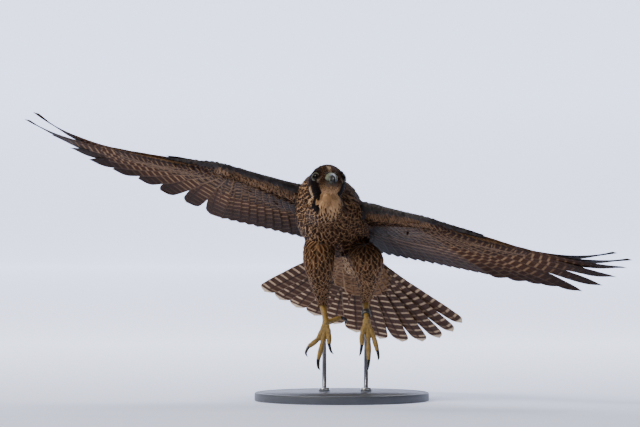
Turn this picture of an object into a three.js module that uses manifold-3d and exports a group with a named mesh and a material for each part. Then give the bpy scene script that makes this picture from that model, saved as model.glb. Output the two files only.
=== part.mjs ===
// A juvenile peregrine falcon in flight, seen almost head on, life size, on a plain display stand.
// Millimetres, +Z up, the floor at z = 0. The bird flies towards -Y; its right wing reaches to -X.
import * as THREE from "three";
import { mergeVertices } from "three/addons/utils/BufferGeometryUtils.js";
import Module from "manifold-3d";

const wasm = await Module();
wasm.setup();

// Driving sizes of the bird, mm
const GAP = 0.3; // between pieces that touch
const TRUNK_LENGTH = 165; // neck base to tail root
const TRUNK_HALF_WIDTH = 51;
const TRUNK_HALF_HEIGHT = 47;
const HEAD_LENGTH = 58; // back of the head to the cere
const HEAD_HALF_WIDTH = 26;
const EYE_RADIUS = 8;
const HAND_BONE_LENGTH = 78; // wrist to the root of the outermost primary
const SECONDARIES = 11;
const RECTRICES = 12;
const TAIL_LENGTH = 200;
const TAIL_HALF_SPREAD = 59; // degrees, middle of the tail to the outermost shaft
const VANE_THICKNESS = 0.8;

// Places in the part's frame, mm
const NECK_BASE = new THREE.Vector3(-26, -70, 297);
const HEAD_CENTRE = new THREE.Vector3(-21, -117, 311);
const BASE_RADIUS = 125;
const BASE_HEIGHT = 12;
const ROD_RADIUS = 3;
const ROD_Y = 21;
const ROD_X = { r: -25, l: 35 };

const rad = THREE.MathUtils.degToRad;
const vec = (x, y, z) => new THREE.Vector3(x, y, z);
const mixed = (a, b, t) => a + (b - a) * t;

// Forward, left and up of a body that faces -Y: turned by yaw towards -X, pitched nose up and banked left side down.
function heading(yaw, pitch, bank) {
  const turn = new THREE.Quaternion()
    .setFromAxisAngle(vec(0, 0, 1), -rad(yaw))
    .multiply(
      new THREE.Quaternion().setFromAxisAngle(vec(1, 0, 0), -rad(pitch)),
    )
    .multiply(
      new THREE.Quaternion().setFromAxisAngle(vec(0, 1, 0), rad(bank)),
    );
  return {
    forward: vec(0, -1, 0).applyQuaternion(turn),
    left: vec(1, 0, 0).applyQuaternion(turn),
    up: vec(0, 0, 1).applyQuaternion(turn),
  };
}
const TRUNK = heading(14, 32, 14);
const TAIL = heading(9, 38, 13);
const HEAD = heading(-13, 15, 2);

// The point at so much left, forward and up of an origin in a frame.
const at = (origin, frame, left, forward, up) =>
  origin
    .clone()
    .addScaledVector(frame.left, left)
    .addScaledVector(frame.forward, forward)
    .addScaledVector(frame.up, up);

// A closed solid through rings of points, all with the same count, in order along its length.
function loft(rings) {
  const sides = rings[0].length;
  const places = rings.flat().flatMap((p) => [p.x, p.y, p.z]);
  const faces = [];
  for (let i = 0; i + 1 < rings.length; i++)
    for (let j = 0; j < sides; j++) {
      const k = (j + 1) % sides;
      const [a, b] = [i * sides + j, i * sides + k];
      faces.push(a, b, b + sides, a, b + sides, a + sides);
    }
  for (const [ring, flip] of [
    [0, true],
    [rings.length - 1, false],
  ]) {
    const middle = places.length / 3;
    const c = rings[ring]
      .reduce((sum, p) => sum.add(p), vec(0, 0, 0))
      .divideScalar(sides);
    places.push(c.x, c.y, c.z);
    for (let j = 0; j < sides; j++) {
      const [a, b] = [ring * sides + j, ring * sides + ((j + 1) % sides)];
      faces.push(...(flip ? [middle, b, a] : [middle, a, b]));
    }
  }
  return new THREE.BufferGeometry()
    .setAttribute("position", new THREE.Float32BufferAttribute(places, 3))
    .setIndex(faces);
}

function solidOf(geometry) {
  const bare = geometry.clone();
  bare.deleteAttribute("normal");
  bare.deleteAttribute("uv");
  const merged = mergeVertices(bare, 1e-3);
  const solid = new wasm.Manifold(
    new wasm.Mesh({
      numProp: 3,
      vertProperties: new Float32Array(merged.attributes.position.array),
      triVerts: new Uint32Array(merged.index.array),
    }),
  );
  if (solid.volume() > 0) return solid;
  const turned = new Uint32Array(merged.index.array).reverse();
  return new wasm.Manifold(
    new wasm.Mesh({
      numProp: 3,
      vertProperties: new Float32Array(merged.attributes.position.array),
      triVerts: turned,
    }),
  );
}

const joined = (solids) => solids.reduce((whole, s) => whole.add(s));
const cut = (solid, cutters) => cutters.reduce((s, c) => s.subtract(c), solid);

// The largest closed surface of a solid, as a geometry.
function geometryOf(solid) {
  const largest = solid
    .decompose()
    .reduce((best, s) => (s.volume() > best.volume() ? s : best));
  const mesh = largest.getMesh();
  const places = new Float32Array(mesh.numVert * 3);
  for (let i = 0; i < mesh.numVert; i++)
    places.set(
      mesh.vertProperties.subarray(i * mesh.numProp, i * mesh.numProp + 3),
      i * 3,
    );
  return new THREE.BufferGeometry()
    .setAttribute("position", new THREE.BufferAttribute(places, 3))
    .setIndex(new THREE.BufferAttribute(mesh.triVerts, 1));
}

// A line of points, longer by grow at both ends.
function lengthened(points, grow) {
  const line = points.map((p) => p.clone());
  const last = line.length - 1;
  line[0].addScaledVector(points[0].clone().sub(points[1]).normalize(), grow);
  line[last].addScaledVector(
    points[last].clone().sub(points[last - 1]).normalize(),
    grow,
  );
  return line;
}

// A rounded solid along a line of stations {at, wide, high, low}: across and up are its section's axes.
function formed(stations, across, up, sides, grow = 0) {
  const line = lengthened(
    stations.map((s) => s.at),
    grow,
  );
  return solidOf(
    loft(
      stations.map((s, i) =>
        Array.from({ length: sides }, (_, j) => {
          const turn = (2 * Math.PI * j) / sides;
          const c = Math.cos(turn);
          const n = Math.sin(turn);
          const high = n < 0 ? (s.low ?? s.high) : s.high;
          return line[i]
            .clone()
            .addScaledVector(s.across ?? across, c * (s.wide + grow))
            .addScaledVector(s.up ?? up, n * (high + grow));
        }),
      ),
    ),
  );
}

// A tube through points with a radius at each, its section turned to follow the line.
function limb(points, radii, sides, grow = 0) {
  const curve = new THREE.CatmullRomCurve3(points);
  const steps = radii.length - 1;
  const line = lengthened(
    radii.map((_, i) => curve.getPoint(i / steps)),
    grow,
  );
  const frames = curve.computeFrenetFrames(steps, false);
  return solidOf(
    loft(
      radii.map((r, i) => {
        return Array.from({ length: sides }, (_, j) => {
          const turn = (2 * Math.PI * j) / sides;
          return line[i]
            .clone()
            .addScaledVector(frames.normals[i], Math.cos(turn) * (r + grow))
            .addScaledVector(frames.binormals[i], Math.sin(turn) * (r + grow));
        });
      }),
    ),
  );
}

// A feather's vane: where along it each section lies, and how wide the vane is there.
const SECTIONS = [
  [0, 0.4],
  [0.22, 0.96],
  [0.6, 1],
  [0.87, 0.84],
  [1, 0.34],
];

// A vane from root to tip that curves up by rise. Its outer edge lies lead of the shaft and its inner edge lag of it;
// tilt raises the outer edge, and twist lowers it again towards the tip, both in degrees.
function vane({ root, tip, ahead, up, lead, lag, rise = 0, tilt = 7, twist = 0 }) {
  const places = [];
  for (const [t, width] of SECTIONS) {
    const turn = rad(tilt - twist * t * t * t);
    const side = ahead
      .clone()
      .multiplyScalar(Math.cos(turn))
      .addScaledVector(up, Math.sin(turn));
    const normal = up
      .clone()
      .multiplyScalar(Math.cos(turn))
      .addScaledVector(ahead, -Math.sin(turn));
    const shaft = root
      .clone()
      .lerp(tip, t)
      .addScaledVector(up, rise * t * t * t);
    const half = (VANE_THICKNESS / 2) * mixed(1.3, 0.8, t);
    for (const [across, high] of [
      [lead, half],
      [-lag, half],
      [-lag, -half],
      [lead, -half],
    ]) {
      const p = shaft
        .clone()
        .addScaledVector(side, across * width)
        .addScaledVector(normal, high);
      places.push(p.x, p.y, p.z);
    }
  }
  const last = 4 * (SECTIONS.length - 1);
  const faces = [0, 3, 2, 0, 2, 1];
  faces.push(last, last + 1, last + 2, last, last + 2, last + 3);
  for (let p = 0, q = 4; q <= last; p += 4, q += 4) {
    faces.push(p, p + 1, q + 1, p, q + 1, q);
    faces.push(p + 3, q + 2, p + 2, p + 3, q + 3, q + 2);
    faces.push(p + 1, p + 2, q + 2, p + 1, q + 2, q + 1);
    faces.push(p + 3, p, q, p + 3, q, q + 3);
  }
  return solidOf(
    new THREE.BufferGeometry()
      .setAttribute("position", new THREE.Float32BufferAttribute(places, 3))
      .setIndex(faces),
  );
}

// A covert over the root of a flight feather: a shorter vane along the same line, lifted off it.
const covert = (feather, share, lift) =>
  vane({
    ...feather,
    root: feather.root.clone().addScaledVector(feather.up, lift),
    tip: feather.root
      .clone()
      .lerp(feather.tip, share)
      .addScaledVector(feather.up, lift),
    rise: feather.rise * share * share * share,
    twist: feather.twist * share * share,
  });

// Trunk, from the neck base to the tail root, deepest at the breast.
const back = TRUNK.forward.clone().negate();
const alongTrunk = (share, up = 0) =>
  at(NECK_BASE, TRUNK, 0, -share * TRUNK_LENGTH, up);
function trunkSolid(grow = 0) {
  const shape = [
    [-0.02, 0.56, 0.56, 0],
    [0.03, 0.74, 0.74, 0],
    [0.15, 0.9, 0.92, -2],
    [0.32, 1.0, 1.0, -4],
    [0.5, 0.97, 0.95, -3],
    [0.68, 0.86, 0.82, 2],
    [0.85, 0.68, 0.62, 9],
    [1.0, 0.48, 0.42, 16],
    [1.12, 0.3, 0.24, 21],
  ];
  return formed(
    shape.map(([share, wide, high, up]) => ({
      at: alongTrunk(share, up),
      wide: wide * TRUNK_HALF_WIDTH,
      high: high * TRUNK_HALF_HEIGHT,
    })),
    TRUNK.left,
    TRUNK.up,
    20,
    grow,
  );
}

// Neck, a short thick cone of feathers from the trunk to the back of the head.
const headBack = at(HEAD_CENTRE, HEAD, 0, -0.34 * HEAD_LENGTH, -4);
function neckSolid(grow = 0) {
  const start = alongTrunk(0.12, -2);
  const curve = new THREE.CatmullRomCurve3([
    start,
    NECK_BASE.clone().addScaledVector(TRUNK.forward, 6),
    headBack,
  ]);
  const widths = [42, 39.5, 35.5, 31.5, 28, 25.5, 23.5];
  const stations = widths.map((wide, i) => {
    const t = i / (widths.length - 1);
    return {
      at: curve.getPoint(t),
      wide,
      high: wide * mixed(0.96, 0.98, t),
      across: TRUNK.left.clone().lerp(HEAD.left, t).normalize(),
      up: TRUNK.up.clone().lerp(HEAD.up, t).normalize(),
    };
  });
  return formed(stations, TRUNK.left, TRUNK.up, 20, grow);
}

// Head: a rounded skull, flat on the crown, with a brow over each eye.
const onHead = (left, forward, up) => at(HEAD_CENTRE, HEAD, left, forward, up);
function headSolid(grow = 0) {
  const shape = [
    [-0.5, 0.42, 0.42, 0.42, 0],
    [-0.42, 0.72, 0.7, 0.72, 0],
    [-0.25, 0.95, 0.93, 0.98, 0],
    [-0.05, 1.0, 1.0, 1.02, 0],
    [0.12, 0.94, 0.97, 0.95, 0],
    [0.26, 0.78, 0.84, 0.8, -0.5],
    [0.38, 0.58, 0.62, 0.6, -1.5],
    [0.46, 0.42, 0.42, 0.45, -2.5],
  ];
  return formed(
    shape.map(([share, wide, high, low, up]) => ({
      at: onHead(0, share * HEAD_LENGTH, up),
      wide: wide * HEAD_HALF_WIDTH,
      high: high * HEAD_HALF_WIDTH,
      low: low * HEAD_HALF_WIDTH,
    })),
    HEAD.left,
    HEAD.up,
    20,
    grow,
  );
}

const eyeCentre = (side) => onHead(side * 16.4, 11.5, 3.5);
const ball = (centre, r, wide = 14, high = 9) =>
  solidOf(
    new THREE.SphereGeometry(r, wide, high).translate(
      centre.x,
      centre.y,
      centre.z,
    ),
  );

// A ring of bare skin round the eye, and the brow that shades it.
function lids(side) {
  const out = HEAD.left
    .clone()
    .multiplyScalar(side * 0.8)
    .addScaledVector(HEAD.forward, 0.58)
    .addScaledVector(HEAD.up, 0.05)
    .normalize();
  const ring = new THREE.TorusGeometry(EYE_RADIUS * 0.86, 1.5, 5, 14);
  ring.applyQuaternion(
    new THREE.Quaternion().setFromUnitVectors(vec(0, 0, 1), out),
  );
  const place = eyeCentre(side).addScaledVector(out, EYE_RADIUS * 0.42);
  ring.translate(place.x, place.y, place.z);
  const brow = limb(
    [
      onHead(side * 13, 20.5, 9),
      onHead(side * 19.5, 14.5, 12.6),
      onHead(side * 23, 5, 12.4),
    ],
    [1.4, 2.6, 3, 2.6, 1.5],
    7,
  );
  return [solidOf(ring), brow];
}

// Bill: the upper half with its cere, tooth and hook, and the lower half under the line of the mouth.
const billRoot = 0.36 * HEAD_LENGTH;
function upperBill() {
  const shape = [
    [0, 10.2, 8.6, 3.6, 0.5],
    [6, 9.4, 8.2, 3.4, 0.3],
    [11, 8.0, 7.2, 3.2, -0.2],
    [16, 6.2, 6.2, 3.4, -1.6],
    [20, 4.4, 5.2, 4.6, -3.8],
    [22.6, 2.6, 3.6, 5.4, -7.0],
    [23.2, 1.1, 1.6, 4.6, -10.4],
  ];
  return formed(
    shape.map(([ahead, wide, high, low, up]) => ({
      at: onHead(0, billRoot + ahead, up - 2),
      wide,
      high,
      low,
    })),
    HEAD.left,
    HEAD.up,
    14,
  );
}
function teeth() {
  return [-1, 1].map((side) =>
    limb(
      [
        onHead(side * 4.2, billRoot + 15.5, -5.6),
        onHead(side * 4.0, billRoot + 16.6, -7.6),
        onHead(side * 3.6, billRoot + 17.2, -9.2),
      ],
      [1.7, 1.4, 0.5],
      6,
    ),
  );
}
function nostrils() {
  return [-1, 1].map((side) =>
    limb(
      [
        onHead(side * 3.5, billRoot + 6.6, 1.4),
        onHead(side * 7, billRoot + 7.6, 1.9),
        onHead(side * 12, billRoot + 9.2, 2.6),
      ],
      [1.3, 1.5, 1.5],
      8,
    ),
  );
}
function lowerBill(grow = 0) {
  const shape = [
    [-2, 9.2, 2.2, 4.6, -8.6],
    [5, 8.0, 1.8, 4.2, -8.8],
    [11, 6.0, 1.4, 3.6, -9.2],
    [15, 4.2, 1.0, 2.6, -9.6],
    [17.4, 2.6, 0.6, 1.4, -9.8],
  ];
  return formed(
    shape.map(([ahead, wide, high, low, up]) => ({
      at: onHead(0, billRoot + ahead, up),
      wide,
      high,
      low,
    })),
    HEAD.left,
    HEAD.up,
    12,
    grow,
  );
}

// Wings. tips holds the end of each primary from the innermost out: mm along the hand, mm aft of it and mm above it.
const WINGS = {
  r: {
    side: -1,
    lie: heading(14, 32, 14),
    shoulder: vec(-50, -40, 297),
    wrist: vec(-170, -85, 335),
    reach: vec(-462, 45, 379),
    innerChord: 134,
    tips: [
      [65, 142, 0],
      [96, 118, 0],
      [130, 94, 0],
      [158, 71, 0],
      [194, 54, 0],
      [228, 40, 2],
      [256, 25, 8],
      [286, 14, 18],
      [333, 4, 32],
      [316, -9, 38],
    ],
  },
  l: {
    side: 1,
    lie: heading(14, 27, 14),
    shoulder: vec(34, -50, 275),
    wrist: vec(114, -165, 260),
    reach: vec(386, -225, 177),
    innerChord: 148,
    tips: [
      [119, 117, 0],
      [147, 108, 0],
      [175, 98, 0],
      [196, 92, 0],
      [229, 84, 0],
      [258, 47, 2],
      [276, 18, 8],
      [288, 0, 18],
      [291, 1, 32],
      [268, 0, 35],
    ],
  },
};

// The lines a wing is drawn on: arm and hand run outwards, aft runs to the trailing edge, up is its back.
function wingPlan({ side, lie, shoulder, wrist, reach, innerChord, tips }) {
  const arm = wrist.clone().sub(shoulder);
  const armLength = arm.length();
  const hand = reach.clone().sub(wrist).normalize();
  const aft = lie.forward.clone().negate();
  const handUp = vec(0, 0, 0)
    .crossVectors(hand, aft)
    .multiplyScalar(side)
    .normalize();
  const armUp = vec(0, 0, 0)
    .crossVectors(arm, aft)
    .multiplyScalar(side)
    .normalize();
  const handAft = vec(0, 0, 0)
    .crossVectors(handUp, hand)
    .multiplyScalar(side)
    .normalize();
  return {
    side,
    shoulder,
    wrist,
    arm: arm.normalize(),
    armLength,
    hand,
    aft,
    armUp,
    handUp,
    handAft,
    innerChord,
    tips,
  };
}

// The fleshy leading edge of a wing: upper arm, forearm and hand, with the web of skin before the elbow.
function wingFlesh(plan, grow = 0) {
  const { shoulder, wrist, hand, arm, armLength, aft, handAft, armUp, handUp } =
    plan;
  const onArm = (share) =>
    shoulder.clone().addScaledVector(arm, share * armLength);
  const onHand = (share) =>
    wrist.clone().addScaledVector(hand, share * HAND_BONE_LENGTH);
  const spots = [
    [onArm(-0.22).addScaledVector(aft, 10), 34, 15, aft, armUp],
    [onArm(0.05), 34, 14, aft, armUp],
    [onArm(0.3), 31, 11, aft, armUp],
    [onArm(0.55), 27, 9, aft, armUp],
    [onArm(0.8), 22, 7.5, aft, armUp],
    [onArm(1), 17, 6.4, handAft, handUp],
    [onHand(0.4), 14, 5, handAft, handUp],
    [onHand(0.8), 11, 3.6, handAft, handUp],
    [onHand(1.15), 7, 2.4, handAft, handUp],
    [onHand(1.4), 3, 1.4, handAft, handUp],
  ];
  return formed(
    spots.map(([place, half, high, across, up]) => ({
      at: place.addScaledVector(across, half * 0.66),
      wide: half,
      high,
      low: high * 0.75,
      across,
      up,
    })),
    aft,
    handUp,
    14,
    grow,
  );
}

// The flight feathers of a wing, from the innermost secondary to the outermost primary.
function flightFeathers(plan) {
  const { shoulder, wrist, hand, arm, armLength, aft, handAft, armUp, handUp } =
    plan;
  const [firstAlong, firstBack] = plan.tips[0];
  const innerTip = shoulder
    .clone()
    .addScaledVector(arm, -0.12 * armLength)
    .addScaledVector(aft, plan.innerChord);
  const outerTip = wrist
    .clone()
    .addScaledVector(hand, firstAlong - 17)
    .addScaledVector(handAft, firstBack + 8);
  const secondaries = Array.from({ length: SECONDARIES }, (_, i) => {
    const t = i / (SECONDARIES - 1);
    const root = shoulder
      .clone()
      .addScaledVector(arm, armLength * mixed(0.0, 0.95, t))
      .addScaledVector(aft, mixed(20, 16, t));
    const tip = innerTip.clone().lerp(outerTip, t);
    return { root, tip, up: armUp, lead: 9, lag: 16, rise: 0, twist: 0 };
  });
  const primaries = plan.tips.map(([along, back, rise], i) => {
    const t = i / (plan.tips.length - 1);
    const root = wrist
      .clone()
      .addScaledVector(hand, HAND_BONE_LENGTH * mixed(0.03, 1.02, t))
      .addScaledVector(handAft, mixed(15, 3, t))
      .addScaledVector(handUp, mixed(2.2, -2.2, t));
    const tip = wrist
      .clone()
      .addScaledVector(hand, along)
      .addScaledVector(handAft, back);
    const lead = mixed(11, 4.5, t);
    const lag = mixed(22, 14, t);
    return { root, tip, up: handUp, lead, lag, rise, twist: rise };
  });
  return [...secondaries, ...primaries].map((feather) => {
    const along = feather.tip.clone().sub(feather.root).normalize();
    const ahead = vec(0, 0, 0)
      .crossVectors(feather.up, along)
      .multiplyScalar(-plan.side)
      .normalize();
    return { ...feather, ahead };
  });
}

// The alula: short pointed feathers along the leading edge from the wrist.
function alula({ wrist, hand, handAft, handUp }) {
  return [88, 58].map((length, i) =>
    vane({
      root: wrist
        .clone()
        .addScaledVector(hand, 4)
        .addScaledVector(handAft, 3 + 3 * i)
        .addScaledVector(handUp, 1.5 + 1.6 * i),
      tip: wrist
        .clone()
        .addScaledVector(hand, length)
        .addScaledVector(handAft, -3 + 5 * i)
        .addScaledVector(handUp, 2 + 1.6 * i),
      ahead: handAft.clone().negate(),
      up: handUp,
      lead: 3.5,
      lag: 7,
    }),
  );
}

// A wing's flesh with its flight feathers, and a row of coverts over and under their roots.
function wingSolid(plan) {
  const feathers = flightFeathers(plan);
  const covers = feathers.flatMap((feather, i) => {
    if (i % 2) return [];
    const share = i < SECONDARIES ? 0.56 : 0.42;
    return [covert(feather, share, 2.3), covert(feather, share * 0.94, -2.3)];
  });
  return joined([
    wingFlesh(plan),
    ...feathers.map(vane),
    ...covers,
    ...alula(plan),
  ]);
}

// Tail: a fan of broad feathers from the end of the trunk, the middle pair on top.
const TAIL_ROOT = at(NECK_BASE, TRUNK, 10, -TRUNK_LENGTH, 0);
function tailFeathers() {
  const aft = TAIL.forward.clone().negate();
  return Array.from({ length: RECTRICES }, (_, i) => {
    const t = (i / (RECTRICES - 1)) * 2 - 1;
    const folded = t < 0 ? t * t : 0;
    const angle = rad(TAIL_HALF_SPREAD) * (t + 0.07 * folded);
    const reach =
      TAIL_LENGTH -
      12 * t * t -
      (t < 0 ? 16 * Math.sin(Math.PI * -t) + 12 * folded : 0);
    const root = TAIL_ROOT.clone()
      .addScaledVector(TAIL.left, 15 * t)
      .addScaledVector(aft, -8 * Math.abs(t))
      .addScaledVector(TAIL.up, -7 * Math.abs(t));
    const tip = TAIL_ROOT.clone()
      .addScaledVector(aft, reach * Math.cos(angle))
      .addScaledVector(TAIL.left, reach * Math.sin(angle))
      .addScaledVector(TAIL.up, -14 * Math.abs(t) - 10 * folded);
    const along = tip.clone().sub(root).normalize();
    const ahead = vec(0, 0, 0)
      .crossVectors(along, TAIL.up)
      .multiplyScalar(-Math.sign(t))
      .normalize();
    const lead = mixed(17, 12, Math.abs(t));
    return { root, tip, up: TAIL.up, ahead, lead, lag: 19, rise: 0, twist: 0 };
  });
}
function rumpSolid(grow = 0) {
  const aft = TAIL.forward.clone().negate();
  const shape = [
    [-22, 24, 17],
    [-4, 29, 15],
    [16, 37, 11],
    [36, 45, 7],
    [52, 45, 4],
    [64, 36, 1.6],
  ];
  return formed(
    shape.map(([along, wide, high]) => ({
      at: TAIL_ROOT.clone().addScaledVector(aft, along),
      wide,
      high,
    })),
    TAIL.left,
    TAIL.up,
    14,
    grow,
  );
}
function tailSolid() {
  const feathers = tailFeathers();
  const covers = feathers
    .filter((_, i) => i % 2)
    .flatMap((feather) => [
      covert(feather, 0.46, 2.6),
      covert(feather, 0.5, -2.6),
    ]);
  return joined([rumpSolid(), ...feathers.map(vane), ...covers]);
}

// Legs. hip, knee, ankle and foot are places; each toe gives its middle, its end and its claw's tip from the foot.
const LEGS = {
  r: {
    hip: vec(-34, -12, 225),
    knee: vec(-33, -50, 199),
    ankle: vec(-27, 0, 137),
    foot: vec(-22.7, -43, 112.5),
    toes: [
      [vec(9, 9, 3), vec(21, 15, 7), vec(31, 22, -3)],
      [vec(4, -5, -15), vec(4.5, -10, -30), vec(11, -9, -44)],
      [vec(-5, -6, -28), vec(-11, -8, -52), vec(-8, -5, -67)],
      [vec(-11, -4, -22), vec(-25, -8, -34), vec(-26, -6, -48)],
    ],
  },
  l: {
    hip: vec(26, -20, 212),
    knee: vec(37, -67, 199),
    ankle: vec(34, -15, 142),
    foot: vec(34.8, -57, 115.4),
    toes: [
      [vec(0, 11, -3), vec(1, 22, -9), vec(0, 30, -22)],
      [vec(-6, -6, -16), vec(-7, -9, -34), vec(-10.5, -5, -49)],
      [vec(2.6, -6, -28), vec(2.9, -9, -55), vec(-0.5, -4, -71)],
      [vec(9, -3, -20), vec(15.5, -6, -42), vec(16, -3, -55)],
    ],
  },
};

const thighSolid = (leg, grow = 0) =>
  limb(
    [leg.hip, leg.knee, leg.knee.clone().lerp(leg.ankle, 0.5), leg.ankle],
    [20, 22, 22.5, 19, 15, 10.5, 7],
    14,
    grow,
  );
const tarsusSolid = (leg, grow = 0) =>
  limb(
    [
      leg.foot.clone().lerp(leg.ankle, 1.08),
      leg.ankle.clone().lerp(leg.foot, 0.5),
      leg.foot,
    ],
    [4.4, 4.8, 4.2, 3.9, 3.8, 4.2],
    10,
    grow,
  );

// A toe bulges at its joints and pads, and its claw is a hooked cone at the end.
const toeLine = (leg, [middle, end]) => [
  leg.foot,
  leg.foot.clone().addScaledVector(middle, 0.5),
  leg.foot.clone().add(middle),
  leg.foot.clone().add(end),
];
const toeSolid = (leg, toe, grow = 0) =>
  limb(toeLine(leg, toe), [4.2, 3.9, 3.2, 3.7, 3, 3.4, 2.3], 7, grow);
function clawSolid(leg, [middle, end, tip], grow = 0) {
  const way = end.clone().sub(middle).normalize();
  const start = leg.foot.clone().add(end);
  const point = leg.foot.clone().add(tip);
  const crook = start
    .clone()
    .lerp(point, 0.45)
    .addScaledVector(way, 2.5)
    .addScaledVector(vec(0, -1, 0), 3);
  return limb(
    [start.clone().addScaledVector(way, -3.5), start, crook, point],
    [1.7, 2.3, 2.1, 1.3, 0.35],
    7,
    grow,
  );
}
const footSolid = (leg, grow = 0) =>
  joined([
    ball(leg.foot, 5.6 + grow, 10, 8),
    ...leg.toes.map((toe) => toeSolid(leg, toe, grow)),
  ]);

// The ring that the left leg wears just above its toes.
const ringAxis = LEGS.l.ankle.clone().sub(LEGS.l.foot).normalize();
function ringSolid() {
  const place = LEGS.l.foot.clone().addScaledVector(ringAxis, 19);
  const turn = new THREE.Quaternion().setFromUnitVectors(
    vec(0, 1, 0),
    ringAxis,
  );
  const profile = [
    [5.2, -4.5],
    [6.4, -4.5],
    [6.4, 4.5],
    [5.2, 4.5],
    [5.2, -4.5],
  ].map(([r, y]) => new THREE.Vector2(r, y));
  return solidOf(
    new THREE.LatheGeometry(profile, 24)
      .applyQuaternion(turn)
      .translate(place.x, place.y, place.z),
  );
}

// The stand: a round plate and two rods that rise behind the legs into the belly.
const ROD_TOP = { r: 228, l: 226 };
function rodSolid(name, grow = 0) {
  const top = ROD_TOP[name] + grow;
  const foot = BASE_HEIGHT + GAP;
  return solidOf(
    new THREE.CylinderGeometry(
      ROD_RADIUS + grow,
      ROD_RADIUS + grow,
      top - foot,
      20,
    )
      .rotateX(Math.PI / 2)
      .translate(ROD_X[name], ROD_Y, (top + foot) / 2),
  );
}
const standBase = solidOf(
  new THREE.LatheGeometry(
    [
      [0, 0],
      [BASE_RADIUS, 0],
      [BASE_RADIUS, BASE_HEIGHT - 2],
      [BASE_RADIUS - 2, BASE_HEIGHT],
      [0, BASE_HEIGHT],
    ].map(([r, z]) => new THREE.Vector2(r, z)),
    48,
  ).rotateX(Math.PI / 2),
);

const looks = {
  plumage: { color: 0x6b4f38, roughness: 0.85, metalness: 0 },
  horn: { color: 0x4d5560, roughness: 0.4, metalness: 0 },
  eye: { color: 0x120c08, roughness: 0.08, metalness: 0 },
  skin: { color: 0xb09a4e, roughness: 0.6, metalness: 0 },
  claw: { color: 0x14120f, roughness: 0.35, metalness: 0 },
  ring: { color: 0x3c3f42, roughness: 0.4, metalness: 0.7 },
  stand: { color: 0x202224, roughness: 0.5, metalness: 0.2 },
};
const falcon = new THREE.Group();
function add(name, solid, look) {
  const mesh = new THREE.Mesh(
    geometryOf(solid),
    new THREE.MeshStandardMaterial(looks[look]),
  );
  mesh.name = name;
  falcon.add(mesh);
}

const rodHoles = [rodSolid("r", GAP), rodSolid("l", GAP)];
add("torso", cut(trunkSolid(), [headSolid(GAP), ...rodHoles]), "plumage");
add("neck", cut(neckSolid(), [trunkSolid(GAP), headSolid(GAP)]), "plumage");
add(
  "head",
  cut(
    joined([headSolid(), ...lids(-1), ...lids(1)]),
    [-1, 1].map((side) => ball(eyeCentre(side), EYE_RADIUS + GAP)),
  ),
  "plumage",
);
add("eye_r", ball(eyeCentre(-1), EYE_RADIUS), "eye");
add("eye_l", ball(eyeCentre(1), EYE_RADIUS), "eye");
add(
  "bill_upper",
  cut(joined([upperBill(), ...teeth()]), [
    headSolid(GAP),
    lowerBill(GAP),
    ...nostrils(),
  ]),
  "horn",
);
add("bill_lower", cut(lowerBill(), [headSolid(GAP)]), "horn");
for (const name of ["r", "l"]) {
  const solid = wingSolid(wingPlan(WINGS[name]));
  add(
    "wing_" + name,
    cut(solid, [trunkSolid(GAP), neckSolid(GAP)]),
    "plumage",
  );
}
add("tail", cut(tailSolid(), [trunkSolid(GAP)]), "plumage");
for (const name of ["r", "l"]) {
  const leg = LEGS[name];
  const covers = [trunkSolid(GAP), tarsusSolid(leg, 2 * GAP), ...rodHoles];
  add("thigh_" + name, cut(thighSolid(leg), covers), "plumage");
  add("tarsus_" + name, cut(tarsusSolid(leg), [footSolid(leg, GAP)]), "skin");
  const claws = leg.toes.map((toe) => clawSolid(leg, toe, GAP));
  add("foot_" + name, cut(footSolid(leg), claws), "skin");
  leg.toes.forEach((toe, i) =>
    add("claw_" + name + "_" + (i + 1), clawSolid(leg, toe), "claw"),
  );
}
add("leg_ring_l", ringSolid(), "ring");
add("stand_base", standBase, "stand");
for (const name of ["r", "l"])
  add("stand_rod_" + name, rodSolid(name), "stand");

export default falcon;
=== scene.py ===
"""A juvenile peregrine falcon in flight, life size, on a round display stand.

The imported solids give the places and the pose. This script dresses them: one skin under the plumage, a coat
of small feathers over it, the flight feathers of wings and tail one by one, and the bare parts.
Lengths in the tables are millimetres, in the part's own frame: +Z up, the bird flies towards -Y.
"""
import math

import bpy
import numpy as np
from bpy.props import FloatProperty, FloatVectorProperty, IntProperty, PointerProperty
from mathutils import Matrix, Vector
from mathutils.bvhtree import BVHTree
from mathutils.kdtree import KDTree


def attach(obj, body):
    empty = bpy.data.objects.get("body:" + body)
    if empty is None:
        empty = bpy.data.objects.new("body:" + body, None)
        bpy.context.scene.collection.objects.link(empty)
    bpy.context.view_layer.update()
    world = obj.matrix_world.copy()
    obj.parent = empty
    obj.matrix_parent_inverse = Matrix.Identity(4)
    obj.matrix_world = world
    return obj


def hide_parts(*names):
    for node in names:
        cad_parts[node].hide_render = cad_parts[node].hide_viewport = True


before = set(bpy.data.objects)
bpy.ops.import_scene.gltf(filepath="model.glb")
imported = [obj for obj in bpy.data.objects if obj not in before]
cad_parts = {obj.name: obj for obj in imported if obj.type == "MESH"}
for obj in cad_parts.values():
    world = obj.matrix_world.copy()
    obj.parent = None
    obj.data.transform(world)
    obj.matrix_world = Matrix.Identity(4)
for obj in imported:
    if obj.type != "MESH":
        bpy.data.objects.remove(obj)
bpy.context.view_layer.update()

bl_info = {
    "name": "Falcon on a stand",
    "version": (1, 0, 0),
    "blender": (4, 5, 0),
    "location": "View3D > Sidebar > Falcon",
    "description": "Builds a life-size juvenile falcon in flight, feather by feather, on a display stand",
    "category": "Object",
}

MM = 0.001


# Directions and places

def vec(*values):
    return np.array(values, float)


def unit(v):
    v = np.asarray(v, float)
    return v / np.maximum(np.linalg.norm(v, axis=-1, keepdims=True), 1e-9)


def mixed(a, b, t):
    return a + (b - a) * t


def soft(x, low, high):
    """0 below low, 1 above high, and smooth between."""
    t = np.clip((x - low) / (high - low), 0, 1)
    return t * t * (3 - 2 * t)


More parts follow.
